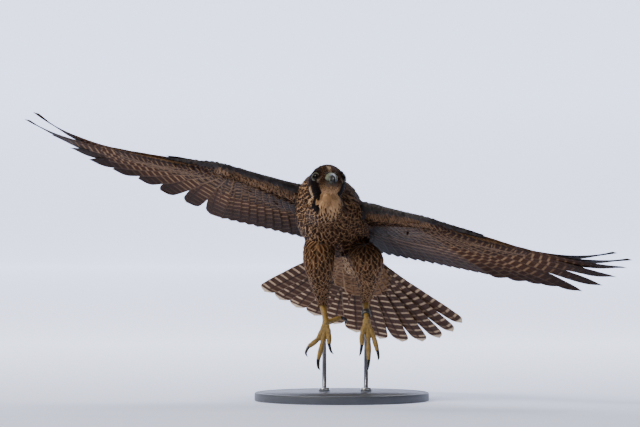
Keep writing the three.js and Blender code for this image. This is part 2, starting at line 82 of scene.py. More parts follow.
class Lie:
    """How a part of the bird lies: its forward, left and up, from yaw, pitch and bank in degrees."""

    def __init__(self, yaw, pitch, bank):
        y, p, b = np.radians([-yaw, -pitch, bank])
        yawed = np.array([[math.cos(y), -math.sin(y), 0], [math.sin(y), math.cos(y), 0], [0, 0, 1]])
        pitched = np.array([[1, 0, 0], [0, math.cos(p), -math.sin(p)], [0, math.sin(p), math.cos(p)]])
        banked = np.array([[math.cos(b), 0, math.sin(b)], [0, 1, 0], [-math.sin(b), 0, math.cos(b)]])
        turn = yawed @ pitched @ banked
        self.forward = turn @ vec(0, -1, 0)
        self.left = turn @ vec(1, 0, 0)
        self.up = turn @ vec(0, 0, 1)
        self.aft = -self.forward

    def at(self, origin, left, forward, up):
        return origin + left * self.left + forward * self.forward + up * self.up

    def inside(self, places, origin):
        """Places as left, forward and up from an origin."""
        return (places - origin) @ np.array([self.left, self.forward, self.up]).T


TRUNK = Lie(14, 32, 14)
TAIL = Lie(9, 38, 13)
HEAD = Lie(-13, 15, 2)
NECK_BASE = vec(-26, -70, 297)
HEAD_CENTRE = vec(-21, -117, 311)
TRUNK_LENGTH, TRUNK_HALF_WIDTH, TRUNK_HALF_HEIGHT = 165, 51, 47
HEAD_LENGTH, HEAD_HALF_WIDTH, EYE_RADIUS = 58, 26, 8
TAIL_ROOT = TRUNK.at(NECK_BASE, 10, -TRUNK_LENGTH, 0)
HAND_BONE = 78
SECONDARIES, PRIMARIES, RECTRICES = 14, 10, 12
SIDES = {"r": -1, "l": 1}
TAIL_LENGTH, TAIL_HALF_SPREAD = 200, 59


def on_head(left, forward, up):
    return HEAD.at(HEAD_CENTRE, left, forward, up)


def along_trunk(share, up=0):
    return TRUNK.at(NECK_BASE, 0, -share * TRUNK_LENGTH, up)


def eye_centre(side):
    return on_head(side * 16.4, 11.5, 3.5)


def eye_way(side):
    return unit(side * 0.72 * HEAD.left + 0.68 * HEAD.forward + 0.05 * HEAD.up)


BILL_ROOT = 0.36 * HEAD_LENGTH

WINGS = {
    "r": dict(
        side=-1, lie=Lie(14, 32, 14), shoulder=vec(-50, -40, 297), wrist=vec(-170, -85, 335),
        reach=vec(-462, 45, 379), inner_chord=134,
        tips=[(65, 142, 0), (96, 118, 0), (130, 94, 0), (158, 71, 0), (194, 54, 0),
              (228, 40, 2), (256, 25, 8), (286, 14, 18), (333, 4, 32), (316, -9, 38)],
    ),
    "l": dict(
        side=1, lie=Lie(14, 27, 14), shoulder=vec(34, -50, 275), wrist=vec(114, -165, 260),
        reach=vec(386, -225, 177), inner_chord=148,
        tips=[(119, 117, 0), (147, 108, 0), (175, 98, 0), (196, 92, 0), (229, 84, 0),
              (258, 47, 2), (276, 18, 8), (288, 0, 18), (291, 1, 32), (268, 0, 35)],
    ),
}

LEGS = {
    "r": dict(
        hip=vec(-34, -12, 225), knee=vec(-33, -50, 199), ankle=vec(-27, 0, 137), foot=vec(-22.7, -43, 112.5),
        toes=[
            ((9, 9, 3), (21, 15, 7), (31, 22, -3)), ((4, -5, -15), (4.5, -10, -30), (11, -9, -44)),
            ((-5, -6, -28), (-11, -8, -52), (-8, -5, -67)), ((-11, -4, -22), (-25, -8, -34), (-26, -6, -48)),
        ],
    ),
    "l": dict(
        hip=vec(26, -20, 212), knee=vec(37, -67, 199), ankle=vec(34, -15, 142), foot=vec(34.8, -57, 115.4),
        toes=[
            ((0, 11, -3), (1, 22, -9), (0, 30, -22)), ((-6, -6, -16), (-7, -9, -34), (-10.5, -5, -49)),
            ((2.6, -6, -28), (2.9, -9, -55), (-0.5, -4, -71)), ((9, -3, -20), (15.5, -6, -42), (16, -3, -55)),
        ],
    ),
}


class Wing:
    """Lines to draw a wing on. Arm and hand run outwards, aft to the trailing edge, up out of its back."""

    def __init__(self, side, lie, shoulder, wrist, reach, inner_chord, tips):
        self.side, self.shoulder, self.wrist = side, shoulder, wrist
        self.inner_chord, self.tips = inner_chord, tips
        self.arm_length = np.linalg.norm(wrist - shoulder)
        self.arm = unit(wrist - shoulder)
        self.hand = unit(reach - wrist)
        self.aft = lie.aft
        self.arm_up = unit(np.cross(self.arm, self.aft) * side)
        self.hand_up = unit(np.cross(self.hand, self.aft) * side)
        self.hand_aft = unit(np.cross(self.hand_up, self.hand) * side)

    def on_arm(self, share):
        return self.shoulder + self.arm * share * self.arm_length

    def on_hand(self, share):
        return self.wrist + self.hand * share * HAND_BONE

    def off_wrist(self, along, back, up):
        return self.wrist + self.hand * along + self.hand_aft * back + self.hand_up * up


WING = {name: Wing(**plan) for name, plan in WINGS.items()}


# Lines and forms

def smooth_rows(rows, count):
    """Rows of numbers, run smoothly through at count even places."""
    rows = np.asarray(rows, float)
    ends = np.vstack([2 * rows[0] - rows[1], rows, 2 * rows[-1] - rows[-2]])
    place = np.linspace(0, len(rows) - 1, count)
    i = np.minimum(place.astype(int), len(rows) - 2)
    t = (place - i)[:, None]
    a, b, c, d = ends[i], ends[i + 1], ends[i + 2], ends[i + 3]
    return 0.5 * (2 * b + (c - a) * t + (2 * a - 5 * b + 4 * c - d) * t**2 + (3 * b - a - 3 * c + d) * t**3)


def line_through(points, count):
    """A curve through points that doesn't overshoot where they stand close together."""
    points = np.asarray(points, float)
    ends = np.vstack([2 * points[0] - points[1], points, 2 * points[-1] - points[-2]])
    line = []
    for share in np.linspace(0, len(points) - 1, count):
        i = min(int(share), len(points) - 2)
        t = share - i
        a, b, c, d = ends[i : i + 4]
        p, q, r = (max(np.linalg.norm(n - m), 1e-6) ** 0.5 for m, n in ((a, b), (b, c), (c, d)))
        out = q * ((b - a) / p - (c - a) / (p + q) + (c - b) / q)
        back = q * ((c - b) / q - (d - b) / (q + r) + (d - c) / r)
        line.append(b + out * t + (3 * (c - b) - 2 * out - back) * t**2 + (2 * (b - c) + out + back) * t**3)
    return np.array(line)


def ring_faces(rings, sides):
    """Quads between rings of points, and the fans that close both ends round two middle points."""
    i, j = np.meshgrid(np.arange(rings - 1), np.arange(sides), indexing="ij")
    a = (i * sides + j).ravel()
    b = (i * sides + (j + 1) % sides).ravel()
    quads = np.stack([a, b, b + sides, a + sides], 1)
    k = np.arange(sides)
    first, last = rings * sides, rings * sides + 1
    start = np.stack([np.full(sides, first), (k + 1) % sides, k], 1)
    end = (rings - 1) * sides
    finish = np.stack([np.full(sides, last), end + k, end + (k + 1) % sides], 1)
    return [quads, start, finish]


def closed_rings(rings):
    """A closed form through rings of points: an array of rings, sides and xyz."""
    count, sides, _ = rings.shape
    places = np.vstack([rings.reshape(-1, 3), rings[0].mean(0), rings[-1].mean(0)])
    return places, ring_faces(count, sides)


def formed(stations, sides=40, count=40):
    """A rounded form along stations of place, half width, height above, height below, across and up."""
    rows = [np.concatenate([s[0], s[1:4], s[4], s[5]]) for s in stations]
    rows = smooth_rows(rows, count)
    place, wide, high, low = rows[:, None, 0:3], rows[:, 3:4], rows[:, 4:5], rows[:, 5:6]
    across, up = unit(rows[:, 6:9])[:, None], unit(rows[:, 9:12])[:, None]
    turn = np.linspace(0, 2 * math.pi, sides, endpoint=False)[None]
    lift = np.where(np.sin(turn) < 0, low, high) * np.sin(turn)
    rings = place + across * (wide * np.cos(turn))[..., None] + up * lift[..., None]
    return closed_rings(rings)


def limb(points, radii, sides=20, count=24, swell=None, flat=1.0):
    """A round form along a curve through points. swell(share, turn) is added to its radius."""
    line = line_through(points, count)
    radius = smooth_rows(np.array(radii)[:, None], count)
    way = unit(np.gradient(line, axis=0))
    normal = [unit(np.cross(way[0], vec(0.3, 0.2, 0.93)))]
    for step in way[1:]:
        normal.append(unit(normal[-1] - step * (normal[-1] @ step)))
    normal = np.array(normal)
    other = np.cross(way, normal)
    turn = np.linspace(0, 2 * math.pi, sides, endpoint=False)[None]
    if swell is not None:
        radius = radius + swell(np.linspace(0, 1, count)[:, None], turn)
    around = normal[:, None] * (radius * np.cos(turn))[..., None]
    around = around + other[:, None] * (flat * radius * np.sin(turn))[..., None]
    return closed_rings(line[:, None] + around)


def ball(centre, radius, sides=48, rows=32, stretch=(1, 1, 1)):
    turn = np.linspace(0, 2 * math.pi, sides, endpoint=False)[None]
    rise = np.linspace(0.02, math.pi - 0.02, rows)[:, None]
    way = np.broadcast_arrays(np.sin(rise) * np.cos(turn), np.sin(rise) * np.sin(turn), np.cos(rise))
    rings = np.stack(way, -1)
    return closed_rings(centre + rings * radius * np.array(stretch))


def turned(profile, sides=128):
    """A profile of radius and height turned round the upright axis, as places and faces."""
    turn = np.linspace(0, 2 * math.pi, sides, endpoint=False)
    radius, height = np.array(profile, float).T
    heights = np.repeat(height[:, None], sides, 1)
    rings = [np.outer(radius, np.cos(turn)), np.outer(radius, np.sin(turn)), heights]
    return closed_rings(np.stack(rings, -1))


def hoop(profile, sides):
    """A closed profile turned round the upright axis, open in the middle."""
    places, faces = turned(profile, sides)
    return places[:-2], faces[:1]


def placed(form, place, axis=(0, 0, 1)):
    """The form moved to a place, with its own upright axis turned along axis."""
    places, faces = form
    turn = Vector((0, 0, 1)).rotation_difference(Vector(axis)).to_matrix()
    return places @ np.array(turn).T + place, faces


def together(forms):
    """Several forms as one set of places and faces."""
    places, faces, count = [], [], 0
    for own, own_faces in forms:
        places.append(own)
        faces += [f + count for f in own_faces]
        count += len(own)
    return np.vstack(places), faces


# Meshes and pieces

FIELDS = {"FLOAT": "value", "INT": "value", "FLOAT_VECTOR": "vector", "FLOAT_COLOR": "color"}


def write_channel(mesh, key, values, kind=None):
    """One value at each of the mesh's points. Without a kind, rows of three are opaque colours."""
    values = np.asarray(values)
    kind = kind or ("FLOAT" if values.ndim == 1 else "FLOAT_COLOR")
    if kind == "FLOAT_COLOR":
        values = np.column_stack([values, np.ones(len(values))])
    number = np.int32 if kind == "INT" else np.float32
    mesh.attributes.new(key, kind, "POINT").data.foreach_set(FIELDS[kind], values.astype(number).ravel())


def read_all(items, field, width=1, number=np.float32):
    """One field of all the items, with a row for each where it is wider than one number."""
    values = np.empty(len(items) * width, number)
    items.foreach_get(field, values)
    return values.reshape(-1, width) if width > 1 else values


def places_of(mesh):
    return read_all(mesh.vertices, "co", 3).astype(float) / MM


def normals_of(mesh):
    return read_all(mesh.vertex_normals, "vector", 3).astype(float)


def move_points(mesh, places):
    mesh.vertices.foreach_set("co", (np.asarray(places) * MM).astype(np.float32).ravel())


def mesh_of(name, places, faces, channels=None, spread_map=None):
    """A mesh from places in mm and lists of same-sized faces, with channels at its points."""
    mesh = bpy.data.meshes.new(name)
    mesh.vertices.add(len(places))
    move_points(mesh, places)
    corners = np.concatenate([f.ravel() for f in faces]).astype(np.int32)
    sizes = np.concatenate([np.full(len(f), f.shape[1]) for f in faces])
    starts = np.concatenate([[0], np.cumsum(sizes)[:-1]]).astype(np.int32)
    mesh.loops.add(len(corners))
    mesh.loops.foreach_set("vertex_index", corners)
    mesh.polygons.add(len(sizes))
    mesh.polygons.foreach_set("loop_start", starts)
    mesh.polygons.foreach_set("use_smooth", np.ones(len(sizes), bool))
    mesh.update(calc_edges=True)
    for key, values in (channels or {}).items():
        write_channel(mesh, key, values)
    if spread_map is not None:
        layer = mesh.uv_layers.new(name="OFBake")
        layer.data.foreach_set("uv", np.asarray(spread_map, np.float32)[corners].ravel())
    return mesh


def into_scene(name, data):
    """A new object that shows the data, in the scene."""
    thing = bpy.data.objects.new(name, data)
    bpy.context.scene.collection.objects.link(thing)
    return thing


def piece_of(mesh, material, nodes=()):
    """The mesh as a piece of the bird, standing for CAD nodes."""
    old = bpy.data.objects.get(mesh.name)
    if old is not None:
        bpy.data.objects.remove(old)
    piece = into_scene(mesh.name, mesh)
    mesh.materials.append(material)
    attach(piece, "root")
    if nodes:
        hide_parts(*nodes)
    return piece


def form_piece(name, form, material, nodes=(), channels=None):
    return piece_of(mesh_of(name, *form, channels=channels), material, nodes)


def fused(name, form, voxel, rounds):
    """The form's overlapping solids melted into one surface, then smoothed."""
    rough = into_scene(name + "_rough", mesh_of(name + "_rough", *form))
    melt = rough.modifiers.new("melt", "REMESH")
    melt.mode = "VOXEL"
    melt.voxel_size = voxel * MM
    even = rough.modifiers.new("even", "SMOOTH")
    even.iterations = rounds
    even.factor = 0.5
    evaluated = rough.evaluated_get(bpy.context.evaluated_depsgraph_get())
    mesh = bpy.data.meshes.new_from_object(evaluated)
    mesh.name = name
    bpy.data.objects.remove(rough)
    mesh.polygons.foreach_set("use_smooth", np.ones(len(mesh.polygons), bool))
    return mesh


def evened(values, edges, rounds):
    """Values at points, averaged with their neighbours round by round."""
    count = len(values)
    ends = np.concatenate([edges[:, 0], edges[:, 1]])
    others = np.concatenate([edges[:, 1], edges[:, 0]])
    number = np.bincount(ends, minlength=count)[:, None] + 1.0
    for _ in range(rounds):
        total = np.stack([np.bincount(ends, values[others, k], count) for k in range(values.shape[1])], 1)
        values = (values + total) / number
    return values


def search_tree(form):
    places, faces = form
    corners = [face.tolist() for block in faces for face in block]
    return BVHTree.FromPolygons(places.tolist(), corners)


# Materials

def tint(red, green, blue):
    """A colour given as seen on screen, 0 to 255, as the light it reflects."""
    c = np.array([red, green, blue]) / 255
    return tuple(np.where(c <= 0.04045, c / 12.92, ((c + 0.055) / 1.055) ** 2.4).tolist())


def opaque(colour):
    """A colour with its alpha of 1, and a socket as it is."""
    return colour if isinstance(colour, bpy.types.NodeSocket) else (*colour[:3], 1)


class Finish:
    """A material under construction, with short calls for the nodes that the finishes share."""

    def __init__(self, name, **sockets):
        self.material = bpy.data.materials.new(name)
        self.material.use_nodes = True
        self.tree = self.material.node_tree
        self.shader = self.tree.nodes["Principled BSDF"]
        for key, value in sockets.items():
            self.shader.inputs[key.replace("_", " ")].default_value = value
        self.place = self.node("ShaderNodeTexCoord").outputs["Object"]

    def node(self, kind, inputs=(), **settings):
        node = self.tree.nodes.new(kind)
        for key, value in settings.items():
            setattr(node, key, value)
        for key, value in dict(inputs).items():
            if isinstance(value, bpy.types.NodeSocket):
                self.tree.links.new(value, node.inputs[key])
            elif value is not None:
                node.inputs[key].default_value = value
        return node

    def math(self, what, a, b=None, clamp=False):
        return self.node("ShaderNodeMath", {0: a, 1: b}, operation=what, use_clamp=clamp).outputs[0]

    def plus(self, a, b, clamp=False):
        return self.math("ADD", a, b, clamp)

    def minus(self, a, b):
        return self.math("SUBTRACT", a, b)

    def times(self, a, b, clamp=False):
        return self.math("MULTIPLY", a, b, clamp)

    def channel(self, name, colour=False):
        node = self.node("ShaderNodeAttribute", attribute_name=name)
        return node.outputs["Color" if colour else "Fac"]

    def mix(self, share, a, b):
        inputs = {0: share, 6: opaque(a), 7: opaque(b)}
        return self.node("ShaderNodeMix", inputs, data_type="RGBA").outputs[2]

    def noise(self, per_metre, detail=3.0, rough=0.5):
        inputs = {"Vector": self.place, "Scale": per_metre, "Detail": detail, "Roughness": rough}
        return self.node("ShaderNodeTexNoise", inputs).outputs["Fac"]

    def cells(self, per_metre, feature="F1"):
        inputs = {"Vector": self.place, "Scale": per_metre}
        return self.node("ShaderNodeTexVoronoi", inputs, feature=feature).outputs["Distance"]

    def ranged(self, value, low, high, new_low, new_high):
        inputs = {0: value, 1: low, 2: high, 3: new_low, 4: new_high}
        return self.node("ShaderNodeMapRange", inputs).outputs[0]

    def varied(self, per_metre, detail, new_low, new_high, low=0.3, high=0.7):
        """Noise that wanders between two values."""
        return self.ranged(self.noise(per_metre, detail), low, high, new_low, new_high)

    def valued(self, colour, value):
        inputs = {"Color": opaque(colour), "Value": value}
        return self.node("ShaderNodeHueSaturation", inputs).outputs["Color"]

    def bump(self, height, depth_mm, strength=1.0):
        inputs = {"Height": height, "Distance": depth_mm * MM, "Strength": strength}
        return self.node("ShaderNodeBump", inputs).outputs["Normal"]

    def done(self, colour, roughness=None, normal=None):
        for key, value in (("Base Color", colour), ("Roughness", roughness), ("Normal", normal)):
            if value is not None:
                self.tree.links.new(value, self.shader.inputs[key])
        return self.material


MARK_SHARPNESS = 9
BARB_PITCH = 0.9


def feather_finish(name, gloss):
    """Vanes: a base colour, a streak on the shaft, bars across and a rim, with the barbs as fine relief."""
    f = Finish(name, Roughness=gloss, Specular_IOR_Level=0.05)
    grain = f.noise(900, 2)
    ragged = f.times(f.minus(grain, 0.5), 0.22)
    streak = f.minus(f.plus(f.channel("streak"), ragged), f.channel("across"))
    streak = f.times(f.plus(streak, 0.04), MARK_SHARPNESS, clamp=True)
    streak = f.times(streak, f.math("GREATER_THAN", f.channel("streak"), 0.01))
    wave = f.math("SINE", f.times(f.plus(f.channel("phase"), ragged), 2 * math.pi))
    bars = f.times(f.times(f.minus(wave, 0.5), 3.5, clamp=True), f.channel("bars"))
    rim = f.minus(f.plus(f.channel("edge"), ragged), 1.0)
    rim = f.times(f.plus(rim, f.channel("rim_width")), MARK_SHARPNESS, clamp=True)
    colour = f.mix(streak, f.channel("base", True), f.channel("mark", True))
    colour = f.mix(bars, colour, f.channel("band", True))
    colour = f.mix(rim, colour, f.channel("rim", True))
    colour = f.valued(colour, f.varied(260, 3, 0.82, 1.16, 0.25, 0.75))
    barbs = f.math("SINE", f.times(f.channel("barbs"), 2 * math.pi / BARB_PITCH))
    height = f.plus(f.times(barbs, 0.5), f.times(grain, 1.2))
    return f.done(colour, normal=f.bump(height, 0.12, 0.7))


def skin_finish():
    f = Finish("down_under_coat", Roughness=0.85, Sheen_Weight=0.3)
    colour = f.valued(f.channel("tint", True), f.varied(500, 3, 0.75, 1.05))
    return f.done(colour, normal=f.bump(f.noise(900, 4), 0.5, 0.8))


def eye_finish(colour):
    """A wet eye: a black pupil in an iris of fine fibres."""
    f = Finish("eye_wet", Roughness=0.08, Specular_IOR_Level=0.18)
    in_pupil = f.times(f.minus(f.channel("pupil"), 0.62), 14, clamp=True)
    iris = f.valued(colour, f.varied(900, 2, 0.7, 1.4))
    return f.done(f.mix(in_pupil, iris, (0.002, 0.0015, 0.001)))


def waxy_finish(name, colour, dark):
    """Bare skin of the face: fine pebbles and a dull waxy gloss."""
    f = Finish(name, Roughness=0.42, Coat_Weight=0.12, Coat_Roughness=0.3)
    paleness = f.varied(245, 3, 0, 1, 0.35, 0.65)
    pebbles = f.cells(1120)
    return f.done(f.mix(paleness, dark, colour), normal=f.bump(pebbles, 0.25, 0.6))


def horn_finish(name, pale, dark, low, high):
    """Horn that darkens along the bill, with growth lines."""
    f = Finish(name, Roughness=0.3, Coat_Weight=0.3, Coat_Roughness=0.18)
    share = f.plus(f.channel("along"), f.times(f.minus(f.noise(350, 3), 0.5), 0.25))
    colour = f.mix(f.ranged(share, low, high, 0, 1), pale, dark)
    lines = f.math("SINE", f.times(f.channel("along"), 120))
    height = f.plus(f.times(lines, 0.15), f.noise(1500, 3))
    return f.done(colour, f.varied(700, 2, 0.24, 0.4), f.bump(height, 0.08, 0.6))


def scale_finish(colour, dark):
    """Scaly skin of the legs. The mesh has the broad scutes, and this adds the small scales between."""
    f = Finish("scaly_skin", Roughness=0.5, Coat_Weight=0.08, Coat_Roughness=0.35)
    edge = f.cells(620, "DISTANCE_TO_EDGE")
    gaps = f.minus(1.0, f.times(edge, 9, clamp=True))
    worn = f.plus(f.times(gaps, 0.55), f.varied(300, 4, 0, 0.6, 0.35, 0.7), clamp=True)
    dome = f.times(edge, 5, clamp=True)
    return f.done(f.mix(worn, colour, dark), normal=f.bump(dome, 0.22, 0.9))


def metal_finish(name, colour, roughness, scratches):
    """Dull metal with fine scratches and darker spots."""
    f = Finish(name, Metallic=1.0)
    fine = f.noise(scratches, 5, 0.7)
    spotted = f.valued(colour, f.varied(90, 4, 1.0, 0.72, 0.4, 0.75))
    rough = f.ranged(fine, 0.3, 0.7, roughness - 0.07, roughness + 0.1)
    return f.done(spotted, rough, f.bump(fine, 0.04, 0.5))


def powder_finish(colour):
    """Matt powder coat with a fine grain."""
    f = Finish("powder_coat", Roughness=0.55, Coat_Weight=0.1)
    grain = f.noise(1600, 3)
    patchy = f.valued(colour, f.varied(60, 4, 0.9, 1.08))
    return f.done(patchy, f.ranged(grain, 0.3, 0.7, 0.45, 0.62), f.bump(grain, 0.06, 0.7))


def paper_finish(colour):
    """Pale paper that glows more the further back it lies, as a lit backdrop does."""
    f = Finish("backdrop_paper", Roughness=0.9, Emission_Color=opaque(colour))
    depth = f.node("ShaderNodeSeparateXYZ", {0: f.place}).outputs["Y"]
    f.tree.links.new(f.ranged(depth, -0.4, 2.2, 0.3, 2.1), f.shader.inputs["Emission Strength"])
    mottled = f.valued(colour, f.varied(30, 3, 0.985, 1.015))
    return f.done(mottled, normal=f.bump(f.noise(900, 3), 0.05, 0.3))


# Settings

def size(name, text, default_mm, low, high):
    return FloatProperty(name=name, description=text, default=default_mm * MM, min=low * MM, max=high * MM,
                         unit="LENGTH", precision=4)


def paint(name, text, *seen):
    return FloatVectorProperty(name=name, description=text, default=tint(*seen), size=3, min=0, max=1,
                               subtype="COLOR")


class FalconFeathers(bpy.types.PropertyGroup):
    face_length: size("Face feathers", "Length of the feathers round the bill", 4.2, 2, 8)
    nape_length: size("Nape feathers", "Length of the feathers at the back of the head", 9, 4, 16)
    neck_length: size("Neck feathers", "Length of the feathers of the neck", 18, 6, 24)
    breast_length: size("Breast feathers", "Length of the feathers of breast and belly", 22, 10, 35)
    back_length: size("Back feathers", "Length of the feathers of back and rump", 24, 10, 40)
    thigh_length: size("Thigh feathers", "Length of the loose feathers of the thighs", 20, 8, 35)
    covert_length: size("Small coverts", "Length of the small feathers on the wing's flesh", 15, 6, 26)
    coat_depth: size("Coat depth", "How deep the skin lies under the body's plumage", 2.6, 1, 4)
    looseness: FloatProperty(name="Looseness", description="How much single feathers stray from their row",
                             default=1.5, min=0, max=3)
    seed: IntProperty(name="Seed", description="Starting number of the scatter of feathers", default=7, min=0)


class FalconColours(bpy.types.PropertyGroup):
    brown: paint("Brown", "Upper side and bases of the feathers", 76, 49, 32)
    dusk: paint("Dusk", "Streaks of the breast and the moustache", 24, 10, 5)
    slate: paint("Slate", "Leading edges and primary tips", 60, 55, 53)
    buff: paint("Buff", "Ground colour of the underside and the feather edges", 182, 144, 104)
    cream: paint("Cream", "Forehead, cheeks and the tips of the tail", 222, 196, 162)
    throat: paint("Throat", "Plain patch under the bill", 158, 118, 78)
    quill: paint("Quill", "Ground colour of the flight feathers from below", 78, 47, 27)
    face_skin: paint("Face skin", "Cere and eye ring", 124, 128, 98)
    horn: paint("Horn", "Pale part of the bill", 100, 102, 86)
    horn_tip: paint("Horn tip", "Dark tip of the bill", 22, 22, 25)
    iris: paint("Iris", "Brown of the eye", 52, 30, 18)
    feet: paint("Feet", "Scaly skin of legs and toes", 176, 140, 68)
    claws: paint("Claws", "Black horn of the claws", 12, 11, 11)


class FalconStand(bpy.types.PropertyGroup):
    plate_edge: size("Plate edge", "Rounding of the plate's upper edge", 2, 0.5, 4)
    plate_colour: paint("Plate colour", "Powder coat of the plate", 84, 87, 92)
    rod_colour: paint("Rod colour", "Steel of the rods", 232, 234, 240)
    ring_colour: paint("Ring colour", "Dull metal of the leg ring", 112, 112, 110)


class FalconStage(bpy.types.PropertyGroup):
    backdrop: paint("Backdrop", "Pale paper behind the model", 214, 221, 244)
    key_power: FloatProperty(name="Key light", description="Power of the main light, upper left",
                             default=150, min=0, max=1000, unit="POWER")
    sky: FloatProperty(name="Sky", description="Strength of the light from all round",
                       default=0.1, min=0, max=3)


def settings(kind):
    return getattr(bpy.context.scene, "falcon_" + kind)


def colour(name):
    return np.array(getattr(settings("colours"), name))


def colours(*names):
    return [colour(name) for name in names]


def mm_of(name):
    return getattr(settings("feathers"), name) / MM


# Markings

PART_NAMES = ["trunk", "neck", "head", "rump", "thigh_r", "thigh_l", "wing_r", "wing_l"]
SIZE_KEYS = ("length", "spacing", "width", "depth")
COLOUR_KEYS = ("base", "mark", "band", "rim")


class Marks:
    """The colours and marks of many feathers or points, laid over each other by weight."""

    def __init__(self, count, **values):
        self.rows = {key: np.tile(np.atleast_1d(value).astype(float), (count, 1))
                     for key, value in values.items()}

    def lay(self, weight, **values):
        for key, value in values.items():
            self.rows[key] = mixed(self.rows[key], np.atleast_1d(value), weight[:, None])

    def __getitem__(self, key):
        return self.rows[key]


def near_line(places, start, end):
    """Distance of places from the stretch between two points."""
    way = end - start
    t = np.clip(((places - start) @ way) / (way @ way), 0, 1)
    return np.linalg.norm(places - start - t[:, None] * way, axis=1)


def patch(places, start, end, inner, outer, taper=0.0):
    """1 near the stretch between two points and 0 beyond outer. Taper narrows it from place to place."""
    return 1 - soft(near_line(places, vec(*start), vec(*end)) + taper, inner, outer)


def by_part(part):
    """For each part's name, which places are on it, from their indexes into PART_NAMES."""
    return {name: part == i for i, name in enumerate(PART_NAMES)}


def marks_at(part, places, normals):
    """Base, streak, bars and rim of the plumage at places on the skin."""
    brown, dusk, buff, cream, slate = colours("brown", "dusk", "buff", "cream", "slate")
    on = {name: own.astype(float) for name, own in by_part(part).items()}
    marks = Marks(len(places), base=mixed(buff, brown, 0.2), mark=mixed(dusk, brown, 0.3), band=dusk,
                  rim=buff, streak=0.62, bars=0.0, rim_width=0.12)
    up, aside = normals @ TRUNK.up, np.abs(normals @ TRUNK.left)
    across, forward, _ = TRUNK.inside(places, NECK_BASE).T
    back = -forward
    body = on["trunk"] + on["neck"] + on["rump"]
    below = 1 - soft(up, -0.05, 0.3)
    # down is 1 on the lower breast and belly, which are darker in the plumage itself. It is also 1 on the
    # bird's left side of the upper breast, and there it is painted shade for the side turned away from the
    # key light. The darker ground, streaks and flank bars laid by down carry that painted shade.
    down = np.clip(soft(back, 20, 85) + 0.9 * soft(across, -4, 26) * soft(back, -25, 12), 0, 1)
    marks.lay(body * down * below, base=mixed(brown, dusk, 0.25), rim=mixed(buff, brown, 0.15), rim_width=0.2,
              streak=0.36)
    marks.lay(body * soft(aside, 0.5, 0.8) * below * down, bars=0.3, band=buff)
    marks.lay(body * (1 - below), base=mixed(brown, slate, 0.5), mark=dusk, band=dusk,
              rim=mixed(buff, brown, 0.55), streak=0.15, bars=0.0, rim_width=0.1)
    vent = body * soft(back, 112, 140) * (1 - soft(up, -0.3, 0.1))
    marks.lay(vent, base=mixed(buff, brown, 0.25), rim=mixed(cream, buff, 0.6), streak=0.2, bars=0.4,
              band=brown)
    marks.lay(on["thigh_r"] + on["thigh_l"], base=mixed(brown, buff, 0.12), rim=mixed(buff, brown, 0.1),
              rim_width=0.22, streak=0.34)
    for name, wing in WING.items():
        wing_marks(marks, wing, on["wing_" + name], places, normals)
    face_marks(marks, on, places)
    return marks


def wing_marks(marks, wing, own, places, normals):
    """The pattern of a wing's small feathers: slate in front, brown above and below, tan along the arm."""
    brown, dusk, buff, slate = colours("brown", "dusk", "buff", "slate")
    above = soft(normals @ mixed(wing.arm_up, wing.hand_up, 0.5), -0.05, 0.3)
    ahead = soft(-(normals @ wing.aft), 0.15, 0.5)
    marks.lay(own, base=mixed(brown, dusk, 0.6), mark=dusk, rim=mixed(buff, brown, 0.4), streak=0.3, bars=0.0,
              rim_width=0.2)
    marks.lay(own * above, base=mixed(brown, slate, 0.5), rim=mixed(buff, brown, 0.55), rim_width=0.1)
    fringe = patch(places, wing.on_arm(-0.1), wing.wrist, 7, 11)
    marks.lay((1 - above) * own * fringe, base=mixed(brown, buff, 0.3), rim=mixed(buff, brown, 0.5),
              streak=0.2)
    marks.lay(own * ahead, base=slate, rim=slate, rim_width=0.0, streak=0.0)


def face_marks(marks, on, places):
    """The pattern of the head, in the head's own left, forward and up."""
    brown, dusk, buff, cream = colours("brown", "dusk", "buff", "cream")
    head = on["head"]
    near = np.clip(head + on["neck"], 0, 1)
    own = HEAD.inside(places, HEAD_CENTRE)
    marks.lay(head, base=mixed(brown, dusk, 0.75), mark=dusk, rim=mixed(brown, buff, 0.2), streak=0.3,
              bars=0.0, rim_width=0.22)
    throat = (0, 14, -12), (1, 2, -30)
    plain = mixed(colour("throat"), buff, 0.35)
    marks.lay(near * patch(own, *throat, 8, 18), base=plain, mark=brown, rim=mixed(plain, cream, 0.3),
              streak=0.12, rim_width=0.14, bars=0.0)
    marks.lay(near * patch(own, *throat, 7, 13), streak=0.0)
    for side in (-1, 1):
        cheek = patch(own, (side * 24, -1, -4), (side * 19, -8, -19), 4, 9)
        marks.lay(near * cheek, base=mixed(cream, buff, 0.7), mark=brown, rim=mixed(cream, buff, 0.5),
                  streak=0.14, bars=0.0)
        orbit = patch(own, (side * 18, 14, 5), (side * 22, -6, 4), 9.5, 12.5)
        marks.lay(near * orbit, base=dusk, mark=dusk, rim=mixed(dusk, brown, 0.7), streak=0.0, rim_width=0.12)
        taper = 0.08 * np.maximum(-own[:, 2] - 8, 0)
        moustache = patch(own, (side * 17.5, 14, -1), (side * 14.5, 8, -29), 7.2, 9, taper)
        marks.lay(near * moustache, base=dusk * 0.6, mark=dusk, rim=mixed(dusk, brown, 0.3), streak=0.0,
                  rim_width=0.08, bars=0.0)
        lore = patch(own, (side * 9.5, 21, 0), (side * 13, 18, -2), 2.5, 4.5)
        marks.lay(head * lore, base=mixed(cream, brown, 0.35), streak=0.0, rim_width=0.0)
    forehead = patch(own, (-1, 23, 8), (-1.5, 19, 14.5), 0.8, 3.8)
    marks.lay(head * forehead, base=mixed(cream, brown, 0.35), mark=brown, rim=mixed(cream, brown, 0.3),
              streak=0.1)


# Skin

